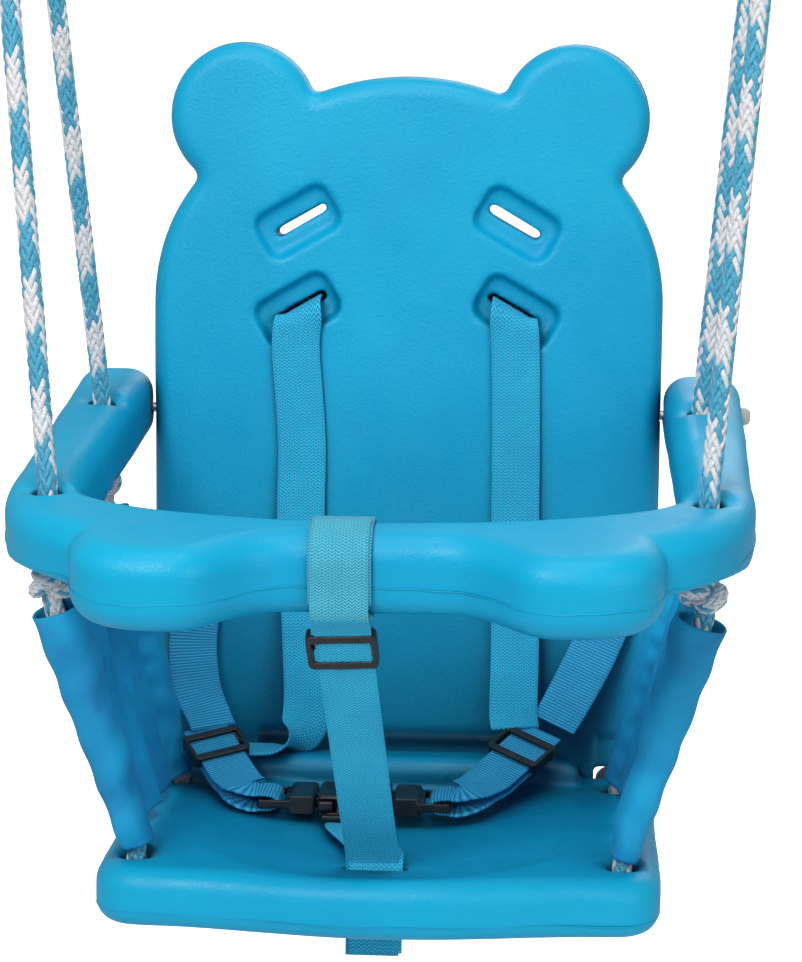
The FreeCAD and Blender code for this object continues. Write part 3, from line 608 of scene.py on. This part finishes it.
def backrest():
    back = softened("backrest", "backrest_shell", 0.0016, 6, PLASTIC)
    p = get_points(back)
    p = p + get_normals(back) * slow_waves(p, 0.09, 0.0007, 7)[:, None]
    set_points(back, p)
    middle = seat_point(0, BACK_FACE + BACK_THICK / 2, 0)
    lines = parting_line("backrest", "backrest_line", middle, seat_dir(0, 1, 0), 0.0004, 0.8)
    back = join("backrest_moulding", [back] + lines)
    finish_piece(back, "seat", ["backrest"])


# ---- braided rope ----
STRANDS = 8        # carriers each way round


def braid(name, path, radius, pitch, turn=0.0, colour_shift=0, blue=4, section=7, sway=None):
    """Hollow-braid rope: two sets of strands, each passing over two and under two of the other set."""
    path = resample(path, pitch / 34)
    s = np.concatenate([[0], np.cumsum(np.linalg.norm(np.diff(path, axis=0), axis=1))])
    t = tangents(path)
    first = np.tile(np.array(sway or (1.0, 0.0, 0.0)), (len(path), 1))
    first = unit(first - t * np.sum(first * t, axis=1, keepdims=True))
    second = np.cross(t, first)
    rise = radius * 0.085
    thick = radius * 0.15
    mean = radius - rise - thick
    wide = 2 * pi * mean / STRANDS * 0.46
    points, faces, slots, uv = [], [], [], []
    start = 0
    for way in (1, -1):
        for k in range(STRANDS):
            angle = 2 * pi * (k / STRANDS + way * s / pitch) + turn
            step = 2 * k + way * 2 * STRANDS * s / pitch
            over = way * np.tanh(1.5 * np.cos(2 * pi * (step - 0.5) / 4)) / np.tanh(1.5)
            out = np.cos(angle)[:, None] * first + np.sin(angle)[:, None] * second
            centre = path + out * (mean + rise * over)[:, None]
            along = tangents(centre)
            lift = unit(out - along * np.sum(out * along, axis=1, keepdims=True))
            beside = np.cross(along, lift)
            rings = []
            for m in range(section):
                a = 2 * pi * m / section
                rings.append(centre + beside * (wide * cos(a)) + lift * (thick * sin(a)))
                uv.append(np.stack([np.full(len(s), m / section), s], axis=1))
            points.append(np.stack(rings, axis=1).reshape(-1, 3))
            uv[-section:] = [np.stack(uv[-section:], axis=1).reshape(-1, 2)]
            made = tube_faces(len(s), section, start)
            faces += made
            dyed = (k + (colour_shift if way < 0 else 0)) % STRANDS < blue
            slots += [0 if dyed else 1] * len(made)
            start += len(s) * section
    core = 8
    inner = []
    for m in range(core):
        a = 2 * pi * m / core
        inner.append(path + (radius * 0.60) * (cos(a) * first + sin(a) * second))
    points.append(np.stack(inner, axis=1).reshape(-1, 3))
    uv.append(np.stack([np.zeros(len(s) * core), np.repeat(s, core)], axis=1))
    made = tube_faces(len(s), core, start)
    faces += made
    slots += [0] * len(made)
    return add_object(name, np.vstack(points), faces, [ROPE_BLUE, ROPE_WHITE], slots, np.vstack(uv))


def knot(name, centre, axis, snug=1.0, spin=0.0):
    """Overhand knot drawn tight: a three-lobed closed rope path round the rope's line."""
    reach = KNOT_SIZE * snug * 1.12
    a = np.linspace(0, 2 * pi, 200)
    x = (np.sin(a) + 2 * np.sin(2 * a)) / 3.0 * reach
    y = (np.cos(a) - 2 * np.cos(2 * a)) / 3.0 * reach
    z = -np.sin(3 * a) * 0.0034
    turn = Vector((0, 0, 1)).rotation_difference(Vector(axis)).to_matrix() @ Matrix.Rotation(spin, 3, "Z")
    path = np.stack([x, y, z], axis=1) @ np.array(turn).T + np.array(centre)
    return braid(name, path, KNOT_ROPE_R * snug, 0.034, colour_shift=1, blue=1, section=6, sway=tuple(axis))


def rope_run(sign, place):
    """Corner points of a front or rear run, from under the seat to the middle of the guard's hole."""
    gx, gy = GUARD_HOLES[0 if place == "front" else 1]
    low = seat_point(sign * SEAT_HOLE_X, HOLE_Y[place], SEAT_UNDER + FOOT_END[place])
    top = seat_point(sign * SEAT_HOLE_X, HOLE_Y[place], SEAT_TOP + 0.003)
    under = Vector((sign * gx, gy, GUARD_LOW.z - ROPE_DROP))
    middle = Vector((sign * gx, gy, (GUARD_LOW.z + GUARD_HIGH.z) / 2))
    return [low, top, under, middle]


def rope_tangent(target, side):
    """Angle round the hang point at which the rope leaves its bend towards a target below."""
    dy = target[0] - HANG.y
    dz = target[1] - HANG.z
    reach = np.hypot(dy, dz)
    return atan2(dz, dy) + side * np.arccos(ROPE_BEND_R / reach)


def stretch_with_guard(piece):
    """Bakes the piece's placement into its mesh; it is not tied to the seat or the guard ring."""
    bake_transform(piece)


def on_bend(sign, angle):
    """A point of the rope's bend over its thimble."""
    return sign * HANG.x, HANG.y + ROPE_BEND_R * cos(angle), HANG.z + ROPE_BEND_R * sin(angle)


def ropes():
    """Each rope in three pieces: over the hang point, and a front and a rear run below the guard ring."""
    straight = 0.034
    for name in ("left", "right"):
        sign = side_sign(name)
        turn = 0.15 if sign < 0 else 0.9
        shift = 0 if sign < 0 else 3
        angles = [rope_tangent((gy, GUARD_HIGH.z), side) for (_, gy), side in zip(GUARD_HOLES, (-1, 1))]
        over = (angles[0] - angles[1]) % (2 * pi)
        bend = [on_bend(sign, angle) for angle in np.linspace(angles[0], angles[0] - over, 24)]
        ends = []
        for angle, side, (gx, gy) in zip(angles, (-1, 1), GUARD_HOLES):
            leave = np.array(on_bend(sign, angle))
            clear = leave - np.array((0, -side * sin(angle), side * cos(angle))) * straight
            hole_top = (sign * gx, gy, GUARD_HIGH.z + 0.002)
            hole_mid = (sign * gx, gy, (GUARD_LOW.z + GUARD_HIGH.z) / 2)
            ends.append([hole_mid, hole_top, tuple(clear)])
        corners = ends[0] + bend + ends[1][::-1]
        path = eased(resample(corners, 0.001), 7)
        upper = braid("rope_upper_" + name, path, BRAID_R, BRAID_PITCH, turn, shift)
        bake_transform(upper)
        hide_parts("rope_" + name)
        for place, snug in (("front", 1.0), ("rear", 0.80)):
            run = rope_run(sign, place)
            path = eased(resample(run, 0.001), 5)
            rope = braid("run", path, BRAID_R, BRAID_PITCH, turn + 0.7, shift)
            tie_at = Vector((run[3].x, run[3].y, GUARD_LOW.z - KNOT_DROP))
            tie = knot("tie", tie_at, (0, 0, 1), snug, spin=0.5 * sign + HOLE_Y[place] * 9)
            lower = join("rope_lower_%s_%s" % (place, name), [rope, tie])
            stretch_with_guard(lower)
            foot = seat_point(sign * SEAT_HOLE_X, HOLE_Y[place], SEAT_UNDER + FOOT_KNOT[place])
            stop = knot("rope_foot_knot_%s_%s" % (place, name), foot, seat_dir(0, 0, 1), spin=1.1)
            finish_piece(stop, "seat")


# ---- webbing ----
def strap_section(width, thick):
    """Half-open list of (across, through) round a strap's section, with rounded edges."""
    across = np.linspace(-1, 1, 15)[1:-1] * (width / 2 - thick * 0.4)
    top = [(a, thick / 2) for a in across]
    bottom = [(a, -thick / 2) for a in across[::-1]]
    edge = width / 2
    right = [(edge - thick * 0.30, thick * 0.46), (edge - thick * 0.04, thick * 0.2), (edge, 0),
             (edge - thick * 0.04, -thick * 0.2), (edge - thick * 0.30, -thick * 0.46)]
    left = [(-a, -b) for a, b in right]
    return top + right + bottom + left


def strap(name, stations, material, width=WEB_WIDTH, thick=WEB_THICK, step=0.0016, reach=3):
    """Flat webbing along stations of (point, across direction)."""
    rows = [list(point) + list(Vector(across).normalized()) for point, across in stations]
    curve = spline(rows, 0.001)
    curve = eased(resample(curve, step), reach)
    centre = curve[:, :3]
    t = tangents(centre)
    side = curve[:, 3:]
    side = unit(side - t * np.sum(side * t, axis=1, keepdims=True))
    face = np.cross(t, side)
    s = np.concatenate([[0], np.cumsum(np.linalg.norm(np.diff(centre, axis=0), axis=1))])
    outline = strap_section(width, thick)
    rings, uv = [], []
    for a, b in outline:
        rings.append(centre + side * a + face * b)
        uv.append(np.stack([np.full(len(s), a), s], axis=1))
    points = np.stack(rings, axis=1).reshape(-1, 3)
    uv = np.stack(uv, axis=1).reshape(-1, 2)
    faces = tube_faces(len(s), len(outline))
    return add_object(name, points, faces, [material], uv=uv)


def seat_stations(rows):
    """Stations given in the seat frame, in millimetres, as (x, y, z, across)."""
    return [(seat_point(x * MM, y * MM, z * MM), seat_dir(*across)) for x, y, z, across in rows]


def round_stop(x, behind, z, across):
    """Stations of a strap's turn round its bar behind the backrest, and into the slot."""
    turn = ((1.2, -14.0), (1.7, -7.5), (8.2, -6.6), (9.8, 0.0), (8.0, 6.4), (2.0, 5.2), (-5.0, 0.0))
    return [(x, behind + dy, z + dz, across) for dy, dz in turn]


def shoulder_strap(name):
    """From its bar behind the backrest, through a tilted slot, down the front to the lap webbing."""
    sign = side_sign(name)
    x = sign * SLOT_X / MM
    z = SLOT_ROWS[0] / MM
    tilt = (cos(SLOT_TILT), 0, -sign * sin(SLOT_TILT))
    front = BACK_FACE / MM
    behind = front + BACK_THICK / MM
    level = (1, 0, 0)
    rows = round_stop(x, behind, z, tilt) + [
        (x, front + 3.0, z, tilt),
        (x + sign * 0.5, front - 3.4, z - 6, tilt),
        (x + sign * 2.0, front - 3.6, z - 26, level),
    ]
    if sign > 0:
        rows += [
            (x + 3.0, front - 3.2, 215, level),
            (x + 3.5, front - 5.5, 150, level),
            (x + 4.5, front - 14.0, 90, level),
            (x + 4.5, front - 30.0, 50, (1, 0.05, 0)),
            (x + 6.0, front - 38.0, 41, (1, 0.1, -0.05)),
        ]
    else:
        rows += [
            (x + 2.0, front - 3.4, 215, level),
            (x + 2.0, front - 6.0, 160, level),
            (x + 6.0, front - 12.0, 90, level),
            (x + 8.0, front - 20.0, 50, (1, 0.15, 0)),
            (x + 4.0, front - 27.0, 31, (0.80, 0.60, 0)),
            (x - 7.0, front - 31.0, 24, (0.40, 0.92, 0)),
            (x - 22.0, front - 32.0, 22.4, (0.12, 1, 0)),
            (x - 38.0, front - 31.0, 22.4, (0.05, 1, 0)),
        ]
    piece = strap("shoulder_webbing_" + name, seat_stations(rows), WEB)
    finish_piece(piece, "seat", ["shoulder_strap_" + name])


def waist_strap(name):
    """From its bar behind the backrest, through a level slot, forward to the lap strap's adjuster."""
    sign = side_sign(name)
    x = sign * WAIST_SLOT[0] / MM
    z = WAIST_SLOT[1] / MM
    front = BACK_FACE / MM
    behind = front + BACK_THICK / MM
    level = (1, 0, 0)
    rows = round_stop(x, behind, z, level) + [
        (x, front + 2.0, z, level),
        (x, front - 4.5, z - 8, level),
    ]
    if sign > 0:
        rows += [
            (x - 11, front - 15.0, 84, (1, 0.1, 0.3)),
            (x - 25, front - 27.0, 58, (1, 0.1, 0.5)),
            (x - 34, front - 34.0, 43, (0.9, 0.0, 0.45)),
        ]
    else:
        rows += [
            (x - 2, front - 12.0, 84, level),
            (x + 2, front - 24.0, 60, (1, 0.2, 0)),
            (x + 10, front - 34.0, 46, (1, 0.4, -0.1)),
            (x + 15, front - 41.0, 38, (0.9, 0.5, 0)),
        ]
    piece = strap("waist_webbing_" + name, seat_stations(rows), WEB_RIB)
    finish_piece(piece, "seat", ["waist_strap_" + name])


def lap_webbing(name):
    """Doubled webbing from the adjuster to the buckle tongue, turning back round the tongue's middle bar."""
    sign = side_sign(name)
    outer = Vector(LAP_OUTER[sign])
    turned = Vector(LAP_TURNED[sign])
    inner = BUCKLE / MM + Vector((sign * LAP_END / MM, 1.0, 1.0))
    run = (inner - outer).normalized()
    side = (turned - run * run.dot(turned)).normalized()
    up = run.cross(side)
    up *= 1 if up.z > 0 else -1
    bar = BUCKLE / MM + Vector((sign * TONGUE_BAR / MM, 0, 0))
    out = Vector((sign, 0, 0))
    flat = Vector((0, -1 if sign > 0 else 1, 0))
    turning = (side * 2 + flat).normalized()
    nearly_flat = (side + flat * 1.3).normalized()
    rows = [(*(outer - run * 5 + up * 0.4), tuple(side))]
    for share, rise, across in ((0.10, 0, side), (0.42, 0, side), (0.66, 0, side), (0.84, 2.5, turning)):
        rows.append((*(outer.lerp(inner, share) + up * rise), tuple(across)))
    for away, rise, across in (
        (17, 7.0, nearly_flat), (9, 4.8, flat), (1, 4.1, flat), (-3.1, 1.8, flat),
        (-3.3, -1.6, flat), (1, -4.0, flat), (9, -4.4, flat), (17, -2.0, nearly_flat),
    ):
        rows.append((*(bar + out * away + Vector((0, 0, rise))), tuple(across)))
    for share, rise, across in (
        (0.84, -4.2, turning), (0.66, -5.3, side), (0.46, -5.4, side), (0.28, -5.6, side),
    ):
        rows.append((*(outer.lerp(inner, share) + up * rise), tuple(across)))
    piece = strap("lap_webbing_" + name, seat_stations(rows), WEB_RIB, width=0.029, thick=0.0017,
                  step=0.0012, reach=2)
    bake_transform(piece)
    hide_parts("lap_web_" + name)


def crotch_webbing():
    """Loop round the guard's front bar, then down through the adjuster and the seat's slot to a tail."""
    node_low, node_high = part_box("crotch_loop")
    x = (node_low.x + node_high.x) / 2
    gap = 0.0018
    bar_r = 0.0165
    y0 = BAR_FRONT - gap
    y1 = BAR_REAR + gap
    z0 = GUARD_LOW.z - gap
    z1 = GUARD_HIGH.z + gap
    near, far = y0 + bar_r, y1 - bar_r
    low, high = z0 + bar_r, z1 - bar_r
    centres = ((near, high), (far, high), (far, low), (near, low))
    loop = []
    for (cy, cz), begin in zip(centres, (pi, pi / 2, 0, -pi / 2)):
        for a in np.linspace(begin, begin - pi / 2, 7):
            loop.append((Vector((x, cy + bar_r * cos(a), cz + bar_r * sin(a))), (1, 0, 0)))
    start = Vector((x, y0, z0 + 0.012))
    top = Vector((x, y0 - 0.0004, GUARD_LOW.z + 0.0073))
    slot_x, slot_y = CROTCH_SLOT
    run = seat_point(slot_x, slot_y, 0.003) - top
    level = (1, 0, 0)
    lap = 0.0020
    over_r = bar_r + lap
    down = [(Vector((x, y1 - bar_r * 1.3, z1 + lap)), level), (Vector((x, near + 0.006, z1 + lap)), level)]
    for a in np.linspace(pi / 2, pi, 7):
        down.append((Vector((x, near + over_r * cos(a), high + over_r * sin(a))), level))
    down += [
        (Vector((x, y0 - lap, z0 + 0.022)), level),
        (Vector((x, y0 - lap * 1.3, z0 + 0.006)), level),
    ]
    down += [(top + run * share, level) for share in (0.07, 0.20, 0.45, 0.75, 0.96)]
    down += [
        (seat_point(slot_x, slot_y, -0.004), level),
        (seat_point(slot_x, slot_y, SEAT_UNDER - 0.002), level),
        (seat_point(slot_x, slot_y - 0.001, SEAT_UNDER - 0.0225), level),
    ]
    # The bar loop wears the top-lit copy of the webbing: painted light from above.
    band = strap("crotch_bar_loop", [(start, level)] + loop[:-3], WEB_TOP_LIT, width=0.0325, reach=2)
    finish_piece(band, "guard", ["crotch_loop"])
    piece = strap("crotch_webbing", down, WEB)
    # Faces above the bar's underside take the top-lit copy of the webbing: painted light from above.
    piece.data.materials.append(WEB_TOP_LIT)
    for face in piece.data.polygons:
        face.material_index = 1 if face.center.z > z0 + 0.004 else 0
    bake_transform(piece)
    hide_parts("crotch_strap")


def crotch_stay():
    """Webbing from the tail under the seat, up behind the crotch strap, and back to the buckle hub."""
    level = (1, 0, 0)
    rows = [
        (-1.0, -2.4, SEAT_UNDER / MM - 20.0, level),
        (-1.0, -2.2, SEAT_UNDER / MM - 2.0, level),
        (-1.0, -1.8, -4.0, level),
        (-1.0, 3.4, 4.6, level),
        (-2.5, 16.0, 4.4, level),
        (-10.0, 45.0, 2.0, level),
        (BUCKLE.x / MM, BUCKLE.y / MM - 36.0, 0.6, level),
        (BUCKLE.x / MM, BUCKLE.y / MM - 24.5, -0.9, level),
    ]
    piece = strap("crotch_stay_webbing", seat_stations(rows), WEB, thick=0.0016)
    finish_piece(piece, "seat", ["crotch_stay"])


# ---- side panels ----
def side_panel(name):
    """Fabric side: one sheet looped round both ropes, seamed back on itself, hanging in soft folds."""
    sign = side_sign(name)
    rng = np.random.default_rng(11 if sign < 0 else 23)
    front = rope_run(sign, "front")
    rear = rope_run(sign, "rear")
    rows = 84
    count = 170
    heights = np.linspace(0, 1, rows)
    wobble = rng.uniform(0, 2 * pi, 8)
    fold_deep = 0.0044 if sign < 0 else 0.0030
    seam = 0.021                             # from a rope's middle to its sleeve's seam
    grid, uv = [], []
    for t in heights:
        share = 0.006 + 0.956 * t
        a = np.array(front[1].lerp(front[2], share))
        b = np.array(rear[1].lerp(rear[2], share))
        up = unit(np.array(front[2] - front[1]))
        u = unit(b - a)
        v = np.cross(u, up)
        v = unit(v * np.sign(v[0] * sign))
        span = np.linalg.norm(b - a)
        inner = 0.0078 + 0.0050 * t + 0.0010 * sin(t * 17 + wobble[0])
        outer = 0.0076 + 0.0050 * t
        nose = -0.0090 - 0.0015 * t + 0.0008 * sin(t * 23 + wobble[1])
        profile = [
            (seam + 0.010, -0.0030), (seam, -0.0024), (0.010, -inner), (-0.001, -inner * 1.04),
            (nose * 0.85, -inner * 0.62), (nose, 0.0), (nose * 0.8, outer * 0.75), (0.0, outer),
            (0.011, outer * 0.85), (seam, 0.0006), (seam + 0.012, 0.0),
        ]
        middle = [(span * q, 0.0) for q in (0.28, 0.40, 0.52, 0.64, 0.76)]
        back = [(span - du, -dv) for du, dv in reversed(profile)]
        curve = spline([(q[0], q[1], 0.0) for q in profile + middle + back], 0.002)
        curve = resample(curve, 0.002)
        lengths = np.concatenate([[0], np.cumsum(np.linalg.norm(np.diff(curve, axis=0), axis=1))])
        s = np.linspace(0, lengths[-1], count)
        flat = np.stack([np.interp(s, lengths, curve[:, 0]), np.interp(s, lengths, curve[:, 1])], axis=1)
        along = tangents(flat)
        out = np.stack([-along[:, 1], along[:, 0]], axis=1)
        from_front = flat[:, 0] - seam
        from_rear = span - seam - flat[:, 0]
        mid = np.clip(from_front / 0.03, 0, 1) * np.clip(from_rear / 0.03, 0, 1)
        fold = np.sin(flat[:, 0] * 2 * pi / 0.041 + 1.3 * sin(3.1 * t + wobble[2]) + wobble[3])
        fold += 0.45 * np.sin(flat[:, 0] * 2 * pi / 0.023 + 2.0 * sin(4.3 * t + wobble[4]))
        near_seam = np.exp(-(from_front / 0.007) ** 2) + np.exp(-(from_rear / 0.007) ** 2)
        pucker = np.sin(t * 62 + wobble[5] + 0.8 * sin(t * 13)) * near_seam
        crease = np.sin(t * 31 + s * 90 + wobble[6]) * (1 - mid)
        bulge = fold_deep * fold * mid * (0.55 + 0.45 * t) + 0.0007 * pucker + 0.0005 * crease
        flat = flat + out * bulge[:, None]
        edge_sag = 0.006 * mid * (t ** 6) - 0.004 * mid * ((1 - t) ** 6)
        line = a + np.outer(flat[:, 0], u) + np.outer(flat[:, 1], v) - np.outer(edge_sag, up)
        grid.append(line)
        uv.append(np.stack([s, np.full(count, share * 0.13)], axis=1))
    points = np.vstack(grid)
    i = np.arange(rows - 1)[:, None] * count
    j = np.arange(count - 1)[None, :]
    quads = np.stack([i + j, i + j + 1, i + count + j + 1, i + count + j], axis=-1).reshape(-1, 4)
    piece = add_object("side_panel_cloth_" + name, points, quads.tolist(), [FABRIC], uv=np.vstack(uv))
    thicken = piece.modifiers.new("thick", "SOLIDIFY")
    thicken.thickness = 0.0014
    thicken.offset = 0.0
    apply_modifiers(piece)
    shade_smooth(piece)
    stretch_with_guard(piece)
    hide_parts("side_panel_" + name)


# ---- hard fittings ----
def fittings():
    """Softened adjusters and buckle parts, and materials for the CAD pieces that stay."""
    small = 0.00055
    soft = {
        "tri_glide_left": ("left_glide", 2), "tri_glide_right": ("right_glide", 2),
        "crotch_tri_glide": ("crotch_glide", 2), "buckle_hub": ("seat", 4),
        "buckle_tongue_left": ("left_tongue", 4), "buckle_tongue_right": ("right_tongue", 4),
    }
    for side in ("left", "right"):
        for edge in ("front", "rear"):
            soft["buckle_prong_%s_%s" % (side, edge)] = ("%s_prong_%s" % (side, edge), 3)
    for node, (body, rounds) in soft.items():
        piece = softened(node, node + "_moulding", small, rounds, BLACK)
        finish_piece(piece, body, [node])
    kept = {
        "thimble_left": BLACK, "thimble_right": BLACK, "hanger_bush_left": BEIGE, "hanger_bush_right": BEIGE,
        "pivot_pin_caps": BEIGE, "guard_pivot_pins": STEEL, "seat_pivot_pins": STEEL, "harness_stops": BLACK,
    }
    for node, material in kept.items():
        mesh = NODES[node].data
        mesh.materials.clear()
        mesh.materials.append(material)


# ---- stage ----
def seen_white(tree, lit, seen):
    """Sky that lights the swing one way and shows plain white to the camera."""
    path = tree.nodes.new("ShaderNodeLightPath")
    mixer = tree.nodes.new("ShaderNodeMixShader")
    tree.links.new(path.outputs["Is Camera Ray"], mixer.inputs[0])
    tree.links.new(lit, mixer.inputs[1])
    tree.links.new(seen, mixer.inputs[2])
    return mixer.outputs[0]


def stage():
    """Pale floor well below the swing, a plain studio sky, and four soft lights."""
    floor_z = CAD_BOX[0].z - 0.30
    reach = 6.0
    points = [(x * reach, y * reach, floor_z) for x, y in ((-1, -1), (1, -1), (1, 1), (-1, 1))]
    pale = Shader("pale_floor", 0.9)
    by_camera = pale.node("ShaderNodeLightPath").outputs["Is Camera Ray"]
    glow = pale.math("MULTIPLY", by_camera, 0.90)
    pale.set(Base_Color=pale.mix(by_camera, (0.62, 0.64, 0.68), (0.90, 0.90, 0.91)),
             Emission_Color=(1.0, 1.0, 1.0, 1.0), Emission_Strength=glow)
    floor = add_object("floor", points, [(0, 1, 2, 3)], [pale.material], smooth=False)
    world = bpy.data.worlds.new("studio")
    world.use_nodes = True
    tree = world.node_tree
    lit = tree.nodes["Background"]
    lit.inputs["Color"].default_value = (0.93, 0.97, 1.0, 1)
    lit.inputs["Strength"].default_value = 0.34
    seen = tree.nodes.new("ShaderNodeBackground")
    seen.inputs["Color"].default_value = (1, 1, 1, 1)
    seen.inputs["Strength"].default_value = 1.05
    mixed = seen_white(tree, lit.outputs[0], seen.outputs[0])
    tree.links.new(mixed, tree.nodes["World Output"].inputs["Surface"])
    bpy.context.scene.world = world
    for label, place, aim, power, size in (
        ("key", (-0.7, -2.0, 1.9), (0, 0, 0.3), 38, 0.9),
        ("fill", (1.5, -1.8, 0.9), (0, 0, 0.3), 11, 1.2),
        ("top", (0.1, -0.4, 2.4), (0, 0, 0.3), 12, 0.9),
        ("back", (0.6, 2.0, 1.3), (0, 0, 0.35), 14, 1.6),
    ):
        light = bpy.data.lights.new(label, "AREA")
        light.energy = power
        light.size = size
        lamp = bpy.data.objects.new(label, light)
        lamp.location = place
        lamp.rotation_euler = (Vector(aim) - Vector(place)).to_track_quat("-Z", "Y").to_euler()
        bpy.context.scene.collection.objects.link(lamp)
    bpy.context.scene.view_settings.view_transform = "Standard"


def camera():
    """Looks down on the swing's front, from a little to its right."""
    view = bpy.data.cameras.new("camera")
    view.sensor_fit = "VERTICAL"
    view.sensor_height = 36.0
    view.lens = VIEW_LENS
    rig = bpy.data.objects.new("camera", view)
    rig.location = VIEW_FROM
    rig.rotation_euler = Euler((radians(90 - VIEW_DOWN), 0, radians(VIEW_ASIDE)))
    bpy.context.scene.collection.objects.link(rig)
    bpy.context.scene.camera = rig


guard_ring()
seat_pan()
backrest()
ropes()
for side in ("left", "right"):
    shoulder_strap(side)
    waist_strap(side)
    lap_webbing(side)
    side_panel(side)
crotch_webbing()
crotch_stay()
fittings()
stage()
camera()
